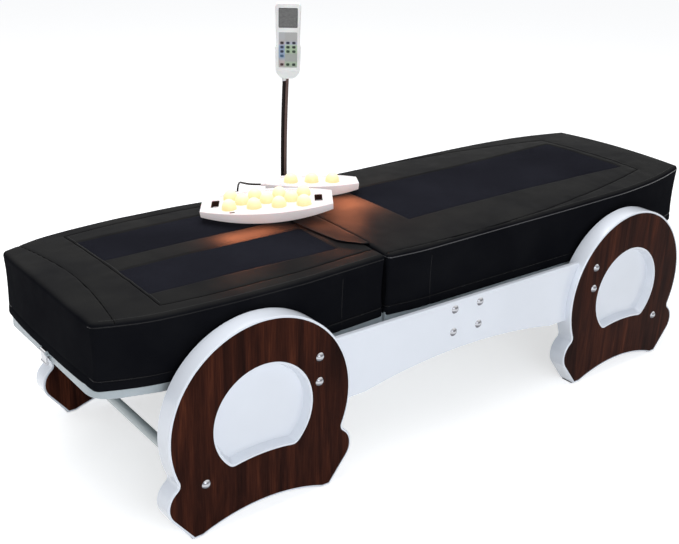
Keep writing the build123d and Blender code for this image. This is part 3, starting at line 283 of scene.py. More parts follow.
class Shader:
    """A Principled material that is built up from texture nodes in object space."""

    def __init__(self, name, color, roughness, **sockets):
        self.material = bpy.data.materials.new(name)
        self.material.use_nodes = True
        self.tree = self.material.node_tree
        self.body = self.tree.nodes["Principled BSDF"]
        self.body.inputs["Base Color"].default_value = (*color, 1)
        self.body.inputs["Roughness"].default_value = roughness
        for socket, value in sockets.items():
            self.body.inputs[socket.replace("_", " ")].default_value = value
        self.place = self.node("TexCoord").outputs["Object"]
        self.normal = None

    def node(self, kind, inputs=None, **settings):
        return add_node(self.tree, kind, inputs, **settings)

    def stretched(self, scale):
        return self.node("Mapping", {"Vector": self.place, "Scale": scale}).outputs["Vector"]

    def noise(self, scale, detail, roughness=0.5, vector=None, distortion=0.0):
        return self.node("TexNoise", {
            "Vector": vector or self.place, "Scale": scale, "Detail": detail,
            "Roughness": roughness, "Distortion": distortion,
        }).outputs["Fac"]

    def bands(self, pitch, axis):
        """Waves along an axis, a pitch in metres apart."""
        inputs = {"Vector": self.place, "Scale": WAVE_PITCH / pitch}
        return self.node("TexWave", inputs, bands_direction=axis).outputs["Fac"]

    def math(self, operation, first, second):
        return self.node("Math", {0: first, 1: second}, operation=operation).outputs[0]

    def ramp(self, source, *stops):
        made = self.node("ValToRGB", {"Fac": source})
        elements = made.color_ramp.elements
        while len(elements) < len(stops):
            elements.new(0.5)
        for element, (position, color) in zip(elements, stops):
            element.position = position
            element.color = (*color, 1)
        return made.outputs["Color"]

    def span(self, source, low, high, start=0.0, end=1.0):
        return self.node("MapRange", {
            "Value": source, "From Min": start, "From Max": end, "To Min": low, "To Max": high,
        }).outputs["Result"]

    def mix(self, factor, first, second):
        inputs = {"Factor": factor, "A": first, "B": second}
        return self.node("Mix", inputs, data_type="RGBA").outputs["Result"]

    def upward(self):
        """How far a face looks up, from -1 to 1."""
        facing = self.node("NewGeometry").outputs["Normal"]
        return self.node("SeparateXYZ", {"Vector": facing}).outputs["Z"]

    def link(self, socket, source):
        self.tree.links.new(source, self.body.inputs[socket])

    def tones(self, source, *stops):
        self.link("Base Color", self.ramp(source, *stops))

    def clouds(self, source, color, share, low=0.35, high=0.65):
        """The colour, and only a share of it where the texture is low."""
        self.tones(source, (low, tuple(part * share for part in color)), (high, color))

    def rough(self, source, low, high):
        self.link("Roughness", self.span(source, low, high, 0.3, 0.7))

    def bump(self, height, strength, distance):
        inputs = {"Height": height, "Strength": strength, "Distance": distance}
        if self.normal is not None:
            inputs["Normal"] = self.normal
        self.normal = self.node("Bump", inputs).outputs["Normal"]
        self.link("Normal", self.normal)


# Materials


def leather(name, dark, light, rough, shine, top_light=(1, 1, 1)):
    """Leather that is rubbed smoother on the faces that look up, and lighter there: the lighter colour
    is painted light, standing for the light that falls on the top.
    """
    made = Shader(name, light, sum(rough) / 2, Specular_IOR_Level=shine)
    blotch = made.noise(9, 4)
    # Painted top light: a lighter copy of the colours, mixed in on the faces that look up.
    top_lit_colors = [tuple(part * more for part, more in zip(color, top_light)) for color in (dark, light)]
    plain, worn_and_lit = (made.ramp(blotch, (0.3, low), (0.72, high)) for low, high in ((dark, light), top_lit_colors))
    top = made.span(made.upward(), 0, 1, 0.45, 0.95)
    made.link("Base Color", made.mix(top, plain, worn_and_lit))
    ripple = made.span(made.noise(26, 3), rough[0], rough[1], 0.3, 0.7)
    made.link("Roughness", made.math("ADD", ripple, made.span(top, 0.35 * (top_light[0] > 1), 0)))
    made.bump(made.noise(20, 4, 0.55), 0.2, 0.002)
    pores = made.node("TexVoronoi", {"Vector": made.place, "Scale": 850}).outputs["Distance"]
    made.bump(pores, 0.3, 0.0004)
    made.bump(made.noise(2400, 2), 0.1, 0.0002)
    return made.material


def woven(name, dark, light, pitch):
    made = Shader(name, light, 0.9, Specular_IOR_Level=0.004)
    weave = made.math("MAXIMUM", made.bands(pitch, "X"), made.bands(pitch, "Y"))
    shade = made.math("MULTIPLY", weave, made.span(made.noise(300, 2), 0.7, 1.0))
    worn_and_lit = made.math("MULTIPLY", shade, made.span(made.noise(4, 3), 0.75, 1.0, 0.35, 0.65))
    made.tones(worn_and_lit, (0.2, dark), (0.95, light))
    made.bump(weave, 0.5, 0.0004)
    made.bump(made.noise(35, 3), 0.12, 0.002)
    return made.material


def walnut():
    made = Shader("walnut_veneer", (0.05, 0.018, 0.01), 0.4, Specular_IOR_Level=0.02)
    broad = made.noise(7, 5, 0.6, made.stretched((5, 5, 0.35)), 0.6)
    fine = made.noise(60, 4, 0.6, made.stretched((6, 6, 0.25)))
    grain = made.math("ADD", made.math("MULTIPLY", broad, 0.72), made.math("MULTIPLY", fine, 0.28))
    made.tones(
        grain,
        (0.33, (0.009, 0.003, 0.0022)), (0.47, (0.026, 0.0078, 0.005)),
        (0.57, (0.048, 0.0135, 0.0075)), (0.7, (0.1, 0.029, 0.014)),
    )
    made.rough(fine, 0.28, 0.42)
    made.bump(fine, 0.1, 0.0004)
    return made.material


def lacquer(name, color, rough=0.22):
    made = Shader(name, color, rough, Coat_Weight=0.5, Coat_Roughness=0.12)
    made.clouds(made.noise(5, 3), color, 0.965)
    made.rough(made.noise(60, 3), rough * 0.85, rough * 1.2)
    made.bump(made.noise(420, 2), 0.03, 0.0003)
    return made.material


def moulded(name, color, rough, grain=0.12, **sockets):
    made = Shader(name, color, rough, **sockets)
    made.clouds(made.noise(18, 3), color, 0.88)
    made.rough(made.noise(90, 2), rough * 0.88, rough * 1.12)
    made.bump(made.noise(1500, 2), grain, 0.0002)
    return made.material


def chrome():
    """Mirror metal with a painted reflection in its colour: darker where it looks down or sideways at
    the bed, palest where it looks straight up.
    """
    made = Shader("bright_chrome", (0.7, 0.7, 0.72), 0.14, Metallic=1.0)
    # Painted reflection: bands of dark and pale colour by how far each face looks up.
    made.tones(
        made.span(made.upward(), 0, 1, -1, 1),
        (0.2, (0.1, 0.1, 0.11)), (0.42, (0.22, 0.22, 0.24)), (0.52, (0.5, 0.51, 0.53)),
        (0.72, (0.16, 0.16, 0.18)), (0.95, (0.92, 0.93, 0.95)),
    )
    made.rough(made.noise(300, 2), 0.1, 0.18)
    return made.material


def metal(name, color, rough):
    made = Shader(name, color, rough, Metallic=1.0)
    streak = made.noise(700, 3, 0.6)
    made.rough(streak, rough * 0.7, rough * 1.35)
    made.clouds(streak, color, 0.9, 0.3, 0.7)
    made.bump(streak, 0.04, 0.0002)
    return made.material


def plywood():
    made = Shader("plywood", (0.45, 0.29, 0.16), 0.6)
    grain = made.noise(30, 4, 0.6, made.stretched((0.6, 8, 8)))
    made.tones(grain, (0.35, (0.33, 0.2, 0.1)), (0.65, (0.52, 0.36, 0.21)))
    made.bump(grain, 0.15, 0.0005)
    return made.material


def jade():
    made = Shader("jade_stone", (0.3, 0.45, 0.27), 0.15, Subsurface_Weight=0.25, Coat_Weight=0.4)
    veins = made.noise(40, 6, 0.65, None, 1.2)
    made.tones(veins, (0.3, (0.13, 0.26, 0.13)), (0.55, (0.32, 0.47, 0.29)), (0.75, (0.62, 0.7, 0.52)))
    return made.material


def glowing_jade():
    """Pale stone with a warm lamp inside it."""
    made = Shader(
        "jade_glow", (0.36, 0.28, 0.16), 0.35, Specular_IOR_Level=0.2, Emission_Strength=0.95,
    )
    veins = made.noise(60, 4, 0.6)
    made.tones(veins, (0.35, (0.3, 0.22, 0.11)), (0.65, (0.38, 0.3, 0.18)))
    made.link("Emission Color", made.ramp(
        made.upward(),
        (0.05, (1.0, 0.6, 0.26)), (0.4, (1.0, 0.8, 0.46)), (0.75, (1.0, 0.93, 0.74)),
    ))
    return made.material


def projector_case():
    """White moulded case that the lamps inside light up faintly."""
    color = (0.62, 0.585, 0.6)
    made = Shader(
        "projector_case", color, 0.35,
        Subsurface_Weight=0.25, Subsurface_Scale=0.01, Emission_Strength=0.34,
    )
    made.clouds(made.noise(18, 3), color, 0.95)
    made.rough(made.noise(90, 2), 0.3, 0.42)
    cloud = made.noise(9, 2)
    made.link("Emission Color", made.ramp(cloud, (0.3, (1.0, 0.88, 0.87)), (0.7, (1.0, 0.94, 0.95))))
    made.bump(made.noise(1500, 2), 0.04, 0.0002)
    return made.material


# The handset's base and turn in the bed's frame, and heights on its panel above that base
HANDSET_PLACE = (-0.092, 0.3255, 0.8077)
HANDSET_TURN = -34.8
PAD_SPAN = (0.03, 0.124)
SCREEN_MIDDLE = 0.162
SCREEN_HALF = 0.026
SCREEN_LINE = 0.0032


def handset_panel():
    """Grey key pad with tinted zones round its keys, and a grey lined screen above it."""
    made = Shader("handset_panel", (0.45, 0.46, 0.46), 0.35, Specular_IOR_Level=0.3)
    place = {
        "Vector": made.place, "Location": HANDSET_PLACE, "Rotation": (0, 0, radians(HANDSET_TURN)),
    }
    own = made.node("Mapping", place, vector_type="TEXTURE").outputs["Vector"]
    split = made.node("SeparateXYZ", {"Vector": own}).outputs
    across, height = split["X"], split["Z"]
    pad = made.span(height, 0, 1, *PAD_SPAN)
    left = made.ramp(
        pad,
        (0.0, (0.5, 0.46, 0.45)), (0.17, (0.56, 0.47, 0.46)), (0.24, (0.44, 0.46, 0.5)),
        (0.3, (0.33, 0.43, 0.6)), (0.62, (0.34, 0.42, 0.58)), (0.68, (0.56, 0.49, 0.52)),
        (0.76, (0.5, 0.47, 0.47)), (0.82, (0.48, 0.49, 0.5)),
    )
    right = made.ramp(
        pad,
        (0.0, (0.42, 0.47, 0.4)), (0.12, (0.44, 0.56, 0.4)), (0.2, (0.4, 0.42, 0.4)),
        (0.38, (0.4, 0.43, 0.39)), (0.44, (0.45, 0.58, 0.4)), (0.62, (0.46, 0.58, 0.42)),
        (0.68, (0.5, 0.53, 0.64)), (0.78, (0.46, 0.46, 0.45)),
    )
    side = made.span(across, 0, 1, -0.0095, -0.007)
    tint = made.mix(side, left, right)
    lines = made.bands(SCREEN_LINE, "Z")
    cloud = made.noise(160, 3, 0.6, made.stretched((1, 1, 2.5)))
    shade = made.math("ADD", made.math("MULTIPLY", lines, 0.35), made.math("MULTIPLY", cloud, 0.65))
    glass = made.ramp(shade, (0.3, (0.09, 0.09, 0.09)), (0.72, (0.22, 0.22, 0.215)))
    from_side = made.math("SUBTRACT", SCREEN_HALF, made.math("ABSOLUTE", across, 0))
    from_middle = made.math("ABSOLUTE", made.math("SUBTRACT", height, SCREEN_MIDDLE), 0)
    from_end = made.math("SUBTRACT", SCREEN_HALF, from_middle)
    rim = made.span(made.math("MINIMUM", from_side, from_end), 0, 1, 0.0004, 0.0032)
    screen = made.mix(rim, (0.045, 0.045, 0.047), glass)
    above = made.math("GREATER_THAN", height, (PAD_SPAN[1] + SCREEN_MIDDLE - SCREEN_HALF) / 2)
    made.link("Base Color", made.mix(above, tint, screen))
    made.bump(made.noise(900, 2), 0.05, 0.0002)
    return made.material


# The camera


def photo_camera():
    yaw, pitch, roll = (radians(angle) for angle in CAMERA_TURN)
    turn = Matrix.Rotation(-yaw, 4, "Z") @ Matrix.Rotation(pi / 2 - pitch, 4, "X")
    camera = placed("photo_camera", bpy.data.cameras.new("photo_camera"))
    camera.matrix_world = Matrix.Translation(CAMERA_PLACE) @ turn @ Matrix.Rotation(roll, 4, "Z")
    camera.data.sensor_width = SENSOR
    camera.data.lens = FOCAL_PIXELS / IMAGE_WIDTH * SENSOR
    camera.data.clip_start = 0.05
    camera.data.clip_end = 60
    bpy.context.scene.camera = camera


# Cords, with their routes in millimetres

CORD_RADIUS = 0.00275
FRONT_CORD = (
    (-304.672, 167.711, 545.034), (-302.758, 191.616, 544.093), (-297, 226, 532),
    (-290, 262, 526.5), (-279, 299, 521), (-268, 328, 507),
    (-262, 347, 478), (-262.5, 350, 430), (-264, 347, 365),
    (-262, 346, 295), (-263, 347, 225), (-262, 346, 158),
    (-261.5, 347, 98), (-255, 346, 58), (-222.5, 346.5, 19),
    (-167, 346, 16), (-134, 345.5, 55), (-128.5, 346, 112),
    (-127, 345, 172), (-128, 344.5, 232), (-128, 344.5, 288),
)
REAR_CORD = (
    (-242.645, 231.5, 553.619), (-263.43, 243.5, 553.619), (-268, 278, 549),
    (-258, 314, 541), (-247, 341, 517), (-243, 350, 475),
    (-241, 347, 418), (-242, 346, 345), (-240, 347, 270),
    (-241, 346, 200), (-239.5, 347, 140), (-239, 346, 92),
    (-220, 346.5, 72), (-192, 346, 71), (-173, 345.5, 91),
    (-171.5, 346, 136), (-172.5, 345, 190), (-172, 344.5, 242),
    (-172, 344.5, 288),
)
CORDS = (
    ("front_cord", "front_projector_cord", 1.007, FRONT_CORD),
    ("rear_cord", "rear_projector_cord", 0.833, REAR_CORD),
)


def tube_curve(name, kind, points, radius, sides):
    """A curve of one spline through or along the points, thickened to a tube."""
    curve = bpy.data.curves.new(name, "CURVE")
    curve.dimensions = "3D"
    spline = curve.splines.new(kind)
    spline.points.add(len(points) - 1)
    for point, place in zip(spline.points, points):
        point.co = (*place, 1)
    curve.bevel_depth = radius
    curve.bevel_resolution = sides
    return curve, spline


def free_cord(name, stands_for, length, route, material):
    points = [[part * MM for part in place] for place in route]
    curve, spline = tube_curve(name, "NURBS", points, CORD_RADIUS, 4)
    spline.order_u = 3
    spline.use_endpoint_u = True
    spline.resolution_u = 6
    curve.use_fill_caps = True
    cord = add_piece(name, curve, "bed_frame", material)
    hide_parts(stands_for)


# Mats


def curve_through(rows, column):
    """A smooth function of place through a table's rows, without overshoot."""
    places = [row[0] for row in rows]
    values = [row[column] for row in rows]
    steps = [(b - a) / (q - p) for a, b, p, q in zip(values, values[1:], places, places[1:])]
    slopes = [steps[0]]
    slopes += [0.0 if a * b <= 0 else 2 * a * b / (a + b) for a, b in zip(steps, steps[1:])]
    slopes.append(steps[-1])

    def value(place):
        place = min(max(place, places[0]), places[-1])
        index = max(i for i in range(len(places) - 1) if places[i] <= place)
        width = places[index + 1] - places[index]
        t = (place - places[index]) / width
        low, high = values[index], values[index + 1]
        return (
            (2 * t**3 - 3 * t**2 + 1) * low + (3 * t**2 - 2 * t**3) * high
            + (t**3 - 2 * t**2 + t) * width * slopes[index] + (t**3 - t**2) * width * slopes[index + 1]
        )

    return value


def arc_through(points):
    """The side of an arc through three places, as a function of x."""
    (ax, ay), (bx, by), (cx, cy) = points
    d = 2 * (ax * (by - cy) + bx * (cy - ay) + cx * (ay - by))
    squares = [x * x + y * y for x, y in points]
    ux = (squares[0] * (by - cy) + squares[1] * (cy - ay) + squares[2] * (ay - by)) / d
    uy = (squares[0] * (cx - bx) + squares[1] * (ax - cx) + squares[2] * (bx - ax)) / d
    radius = hypot(ax - ux, ay - uy)
    way = 1 if by > uy else -1
    return lambda x: uy + way * sqrt(max(radius**2 - (x - ux) ** 2, 0.0))


class Mat:
    """Outline, top and seams of one of the two mats."""

    def __init__(self, name, body, start, end, shares, change):
        self.name = name
        self.body = body
        self.start = start
        self.end = end
        rows = [(start + share * (end - start), width * MAT_HALF, MAT_EDGE + change * rise)
                for share, width, rise in shares]
        self.wide = curve_through(rows, 1)
        self.edge = curve_through(rows, 2)
        self.side_seam = self.cross_seam = None
        self.seams = self.panels = self.puckers = ()

    def half(self, x):
        """Half width at a place along the mat, with round corners in plan."""
        reach = CORNER_ROUND - max(min(x - self.start, self.end - x), 0.0)
        lost = CORNER_ROUND - sqrt(CORNER_ROUND**2 - reach**2) if reach > 0 else 0.0
        return self.wide(x) - lost

    def crown(self, x, y):
        return self.edge(x) + MAT_CROWN * (1 - (y / self.wide(x)) ** 2)

    def dip(self, x, y):
        """How far seams and panel pockets lower the top."""
        deep = 0.0
        for distance in self.seams:
            away = distance(x, y)
            if away < 0.05:
                groove = SEAM_DEPTH * exp(-((away / SEAM_HALF) ** 2))
                valley = SEAM_VALLEY * exp(-away / SEAM_VALLEY_REACH)
                deep = max(deep, groove, valley)
        for outside in self.panels:
            away = outside(x, y)
            if away < PANEL_SLOPE:
                share = 1 - max(away, 0.0) / PANEL_SLOPE
                deep = max(deep, PANEL_SINK * share**2)
        return deep

    def ease(self, x, y):
        """Soft unevenness of the padding, in metres."""
        broad = noise.noise((x * 6, y * 7, self.start * 3))
        fine = noise.noise((x * 26, y * 26, 4.0))
        height = EASE[0] * broad + EASE[1] * fine
        for distance, long_way in self.puckers:
            away = distance(x, y)
            if away < 0.09:
                place = (x * 9, y * 34, 7.0) if long_way else (x * 34, y * 9, 7.0)
                height += PUCKER * exp(-away / PUCKER_REACH) * noise.noise(place)
        return height

    def top(self, x, y):
        inside = min(self.half(x) - abs(y), x - self.start, self.end - x)
        lost = 0.0
        if inside < EDGE_ROUND:
            reach = EDGE_ROUND - max(inside, 0.0)
            lost = EDGE_ROUND - sqrt(max(EDGE_ROUND**2 - reach**2, 0.0))
        fade = min(max(inside / EASE_RIM, 0.0), 1.0)
        dip = self.dip(x, y) * min(1.0, inside / EDGE_ROUND + 0.35)
        return self.crown(x, y) - lost + fade * self.ease(x, y) - dip


def mat_rows(mat):
    """Places along a mat: close together at both ends and across its cross seam."""
    cluster = [mat.cross_seam + step for step in SEAM_STEPS]
    first = spaced(mat.start + EDGE_ROUND, cluster[0], CELL)[1:-1]
    last = spaced(cluster[-1], mat.end - EDGE_ROUND, CELL)[1:-1]
    return with_ends(mat, first + cluster + last, EDGE_STEPS)


def with_ends(mat, places, steps):
    """Places along a mat, with some more in steps from each of its ends."""
    return [mat.start + step for step in steps] + places + [mat.end - step for step in reversed(steps)]


def mat_columns(mat, x, between):
    """Places across a mat at x, with some along the seam beside its panels."""
    half = mat.half(x)
    seam = min(mat.side_seam(x), half - EDGE_ROUND - 2 * SEAM_STEPS[-1])
    outer = half - EDGE_ROUND
    inner = seam + SEAM_STEPS[-1]
    side = [half - step for step in EDGE_STEPS]
    side += [outer + (inner - outer) * i / SIDE_CELLS for i in range(1, SIDE_CELLS)]
    side += [seam - step for step in SEAM_STEPS]
    inmost = side[-1]
    middle = [-inmost + 2 * inmost * i / between for i in range(1, between)]
    return [-y for y in side] + middle + side[::-1]


def rim_numbers(rows, columns):
    """Numbers of the points once round a grid's edge."""
    last = (rows - 1) * columns
    return [
        *range(0, last, columns), *range(last, last + columns - 1),
        *range(last + columns - 1, columns - 1, -columns), *range(columns - 1, 0, -1),
    ]


def mat_mesh(mat):
    xs = mat_rows(mat)
    between = round(2 * mat.side_seam(0.6 * mat.start + 0.4 * mat.end) / CELL)
    points = []
    for x in xs:
        columns = mat_columns(mat, x, between)
        points += [Vector((x, y, mat.top(x, y))) for y in columns]
    count = len(columns)
    faces = grid_faces(len(xs), count)
    upper = rim_numbers(len(xs), count)
    rim = [(points[number], inward_way(mat, points[number])) for number in upper]
    loops = [[side_point(base, way, t) for base, way in rim] for t in SIDE_HEIGHTS]
    for z in (SKIRT_BOTTOM + SKIRT_ROLL, MAT_BOTTOM):
        loops.append([Vector((base.x, base.y, z)) + way * SKIRT_THICK for base, way in rim])
    for loop in loops:
        lower = range(len(points), len(points) + len(loop))
        points += loop
        faces += band_faces(upper, lower)
        upper = lower
    mesh = closed_mesh(mat.name + "_mat", points, faces + [tuple(upper)])
    mesh.shade_smooth()
    return mesh


def cut_trench(piece):
    """Open the mat's underside above the carriage track, up to just under its top."""
    _low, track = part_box("carriage_track")
    end = track.x + TRENCH_BEYOND_TRACK
    corners = [(TRENCH_START, -1), (end, -1), (end, 1), (TRENCH_START, 1)]
    points = [(x, side * TRENCH_HALF, z) for z in (MAT_BOTTOM - 0.02, TRENCH_TOP) for x, side in corners]
    faces = [(0, 3, 2, 1), (4, 5, 6, 7)] + [(k, (k + 1) % 4, (k + 1) % 4 + 4, k + 4) for k in range(4)]
    cutter = placed("trench", plain_mesh("trench", points, faces))
    cut = piece.modifiers.new("trench", "BOOLEAN")
    cut.operation = "DIFFERENCE"
    cut.solver = "EXACT"
    cut.object = cutter
    opened = evaluated_mesh(piece)
    piece.modifiers.clear()
    piece.data = opened
    bpy.data.objects.remove(cutter)


def side_draw(t, base, z):
    """How far the side is drawn in: at half height, along its seams and at the bottom edge."""
    draw = MAT_DRAW * sin(pi * min(t * 1.05, 1.0))
    depth, width = HEM_DRAW
    draw += depth * exp(-(((z - SKIRT_BOTTOM - HEM_HEIGHT) / width) ** 2))
    draw += LIP_DRAW * max(0.0, (t - 0.97) / 0.03) ** 2
    depth, width = SIDE_SEAM_DRAW
    for place in SIDE_SEAMS.values():
        draw += depth * exp(-(((base.x - place) / width) ** 2)) * min(t / 0.05, 1.0)
    ripple = noise.noise((base.x * 8, base.y * 8, z * 14))
    crease = noise.noise((base.x * 30, base.y * 30, z * 7 + 9))
    return draw + (SIDE_EASE[0] * ripple + SIDE_EASE[1] * crease) * sin(pi * t)


def side_point(base, way, t, depth=0.0):
    """A place on the side below a point of the rim, drawn in as the side is there."""
    z = base.z + (SKIRT_BOTTOM - base.z) * t
    return Vector((base.x, base.y, z)) + way * (side_draw(t, base, z) + depth)


def inward_way(mat, base):
    """Square to the mat's outline in plan, pointing in."""
    near = 1e-6
    for end, way in ((mat.start, 1), (mat.end, -1)):
        if abs(base.x - end) < near and abs(base.y) < mat.half(end) - near:
            return Vector((way, 0, 0))
    step = 0.001
    low = max(base.x - step, mat.start)
    high = min(base.x + step, mat.end)
    slope = (mat.half(high) - mat.half(low)) / (high - low)
    return Vector((slope, -copysign(1.0, base.y), 0)).normalized()


def tube_mesh(name, points, radius, closed=False):
    curve, spline = tube_curve(name, "POLY", points, radius, 3)
    spline.use_cyclic_u = closed
    curve.use_fill_caps = not closed
    holder = placed(name + "_line", curve)
    mesh = evaluated_mesh(holder)
    bpy.data.objects.remove(holder)
    mesh.name = name
    mesh.shade_smooth()
    return mesh


def trim(name, mat, points, radius, material, closed=False):
    """A thin round piece on a mat."""
    add_piece(name, tube_mesh(name, points, radius, closed), mat.body, material)


def outline_points(mat, inset, lower):
    """Once round the mat at a distance in from its edge and below its top edge."""
    xs = spaced(mat.start + CORNER_ROUND, mat.end - CORNER_ROUND, 0.014)[1:-1]
    near = []
    for x in with_ends(mat, xs, CORNER_STEPS):
        base = Vector((x, -mat.half(x), mat.edge(x) - lower))
        near.append(base + inward_way(mat, base) * inset)
    far = [Vector((p.x, -p.y, p.z)) for p in reversed(near)]
    return near + far


def mat_trim(mat, piping, plain):
    """Piping round the top edge, and welts along the hem and down the side seams."""
    ring = outline_points(mat, PIPING_INSET, EDGE_ROUND - PIPING_INSET)
    trim(mat.name + "_top_piping", mat, ring, PIPING, piping, True)
    hem = [Vector((p.x, p.y, SKIRT_BOTTOM + HEM_HEIGHT)) for p in outline_points(mat, HEM_WELT_INSET, 0)]
    trim(mat.name + "_hem_welt", mat, hem, HEM_WELT, plain, True)
    x = SIDE_SEAMS[mat.name]
    for side, sign in SIDES:
        base = Vector((x, sign * mat.half(x), mat.edge(x) - EDGE_ROUND))
        way = inward_way(mat, base)
        line = [side_point(base, way, t, SIDE_WELT_INSET) for t in SIDE_HEIGHTS[3:]]
        trim(f"{mat.name}_{side}_side_welt", mat, line, SIDE_WELT, plain)


def stitch_row(name, places, body, material):
    """Short thread stitches along a line of points, as one piece."""
    shaped = bmesh.new()
    travelled, wanted = 0.0, STITCH_SPACING / 2
    for start, end in zip(places, places[1:]):
        way = end - start
        run = way.length
        turn = way.normalized().to_track_quat("Z", "Y").to_matrix().to_4x4()
        while travelled + run >= wanted:
            middle = start + way * ((wanted - travelled) / run)
            bmesh.ops.create_cone(
                shaped, segments=6, radius1=STITCH, radius2=STITCH, depth=STITCH_LENGTH,
                cap_ends=True, matrix=Matrix.Translation(middle) @ turn,
            )
            wanted += STITCH_SPACING
        travelled += run
    mesh = bpy.data.meshes.new(name)
    shaped.to_mesh(mesh)
    shaped.free()
    mesh.shade_smooth()
    add_piece(name, mesh, body, material)


def cross_seam(mat):
    """Distance from the straight seam that runs across the mat between its side seams."""
    place = mat.cross_seam
    return lambda x, y: hypot(x - place, max(0.0, abs(y) - mat.side_seam(place)))


def side_seam(mat, first, last):
    return lambda x, y: hypot(abs(y) - mat.side_seam(x), max(0.0, first - x, x - last))


def foot_arc(x, y):
    """Distance from the arc across the foot end."""
    return abs(hypot(x - FOOT_ARC_MIDDLE, y) - FOOT_ARC_RADIUS)


def before_foot_arc(x, y):
    """Distance from the arc for what lies on its foot side, and far off for the rest."""
    away = FOOT_ARC_RADIUS - hypot(x - FOOT_ARC_MIDDLE, y)
    return away if away > 0 else 1.0


def stripe_side(x):
    return STRIPE_SIDES[1] + STRIPE_SPREAD * (x - STRIPE[0]) / (STRIPE[1] - STRIPE[0])


def outside_of(across, along):
    """Distance out of a panel, below zero inside it."""
    if across > 0 and along > 0:
        return hypot(across, along)
    return max(across, along)


def beyond_stripe(x, y):
    across = max(STRIPE_SIDES[0] - abs(y), abs(y) - stripe_side(x))
    return outside_of(across, max(STRIPE[0] - x, x - STRIPE[1]))


panel_half = arc_through(PANEL_ARC)


def beyond_panel(x, y):
    return outside_of(abs(y) - panel_half(x), max(PANEL[0] - x, x - PANEL[1]))


def close_spaced(start, end, step):
    """Evenly spaced, with two extra places close to each end."""
    inner = spaced(start + PATCH_RIM, end - PATCH_RIM, step)
    return [start, start + 0.0012, *inner, end - 0.0012, end]


def lay_patch(name, mat, span, low, high, cells, node_name, material):
    """Cloth let into the top: its rim is tucked down into the pocket and its middle is full."""
    points = []
    for x in close_spaced(*span, PATCH_CELL):
        for y in close_spaced(low(x), high(x), (high(x) - low(x) - 2 * PATCH_RIM) / (cells - 4)):
            rim = min(y - low(x), high(x) - y, x - span[0], span[1] - x)
            full = 1 - (1 - min(rim / 0.011, 1.0)) ** 2
            z = mat.crown(x, y) + mat.ease(x, y) - PANEL_SINK * 0.9 + PANEL_SINK * 0.95 * full
            points.append((x, y, z))
    piece = add_piece(name, sheet_mesh(name, points, cells + 1), mat.body, material)
    thicken(piece, PATCH_THICK)
    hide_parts(node_name)


def foot_mat():
    mat = Mat("foot", "foot_section", -MAT_REACH, FOOT_MAT_END, FOOT_PLAN_SHARES, -FOOT_DROP)
    mat.side_seam = lambda x: mat.wide(x) - FOOT_SEAM_INSET
    mat.cross_seam = FOOT_SEAM
    mat.seams = [cross_seam(mat), foot_arc, side_seam(mat, FOOT_SEAM, mat.end)]
    mat.panels = [beyond_stripe]
    mat.puckers = [(before_foot_arc, True), (mat.seams[0], True)]
    return mat


def head_mat():
    mat = Mat("head", "bed_frame", HEAD_MAT_START, MAT_REACH, HEAD_PLAN_SHARES, HEAD_RISE)
    mat.side_seam = arc_through(HEAD_SIDE_SEAM)
    mat.cross_seam = HEAD_SEAM
    mat.seams = [cross_seam(mat), side_seam(mat, mat.start, HEAD_SEAM)]
    mat.panels = [beyond_panel]
    mat.puckers = [(mat.seams[0], True), (mat.seams[1], False)]
    return mat


def on_top(mat, line, rise):
    """Places on the mat's top above a line in plan."""
    return [Vector((x, y, mat.top(x, y) + rise)) for x, y in line]


def top_lines(kind, place, reach, steps, side, span):
    """Names and places of a line across a mat's top, and of one along each side of it."""
    lines = {"cross": [(place, y) for y in spaced(-reach, reach, steps[0])]}
    for name, sign in SIDES:
        lines[f"{name}_{kind}"] = [(x, sign * side(x)) for x in spaced(*span, steps[1])]
    return lines.items()


def sunk_cords(foot, head, material):
    """Thin near-black cords that lie in the grooves of the seams: painted shade that darkens the
    grooves.
    """
    across = spaced(-FOOT_ARC_HALF, FOOT_ARC_HALF, SEAM_CORD_STEP)
    arc = [(FOOT_ARC_MIDDLE + sqrt(FOOT_ARC_RADIUS**2 - y * y), y) for y in across]
    trim("foot_arc_cord", foot, on_top(foot, arc, SEAM_CORD_RISE), SEAM_CORD, material)
    for mat, *span in (
        (foot, foot.cross_seam, foot.end - 0.004), (head, head.start + 0.004, head.cross_seam),
    ):
        place, steps = mat.cross_seam, (SEAM_CORD_STEP, SEAM_CORD_STEP)
        for part, line in top_lines("seam", place, mat.side_seam(place), steps, mat.side_seam, span):
            spots = on_top(mat, line, SEAM_CORD_RISE)
            trim(f"{mat.name}_{part}_cord", mat, spots, SEAM_CORD, material)


def seam_threads(mat, thread):
    """Rows of stitches beside the cross seam and along both top edges."""
    reach = mat.side_seam(mat.cross_seam) - 0.01
    span = (mat.start + 0.02, mat.end - 0.02)
    for part, line in top_lines(
        "edge", mat.cross_seam + 0.0055, reach, (0.01, 0.02), lambda x: mat.half(x) - 0.011, span,
    ):
        stitch_row(f"{mat.name}_{part}_stitches", on_top(mat, line, STITCH_RISE), mat.body, thread)


def bow_foot_end(piece):
    """Draw the corners of the foot end back a little, so that its edge is a shallow curve."""
    for vertex in piece.data.vertices:
        share = (FOOT_BOW_START - vertex.co.x) / (MAT_REACH + FOOT_BOW_START)
        if share > 0:
            vertex.co.x += FOOT_BOW * share * min(abs(vertex.co.y) / FOOT_BOW_HALF, 1.05) ** 3


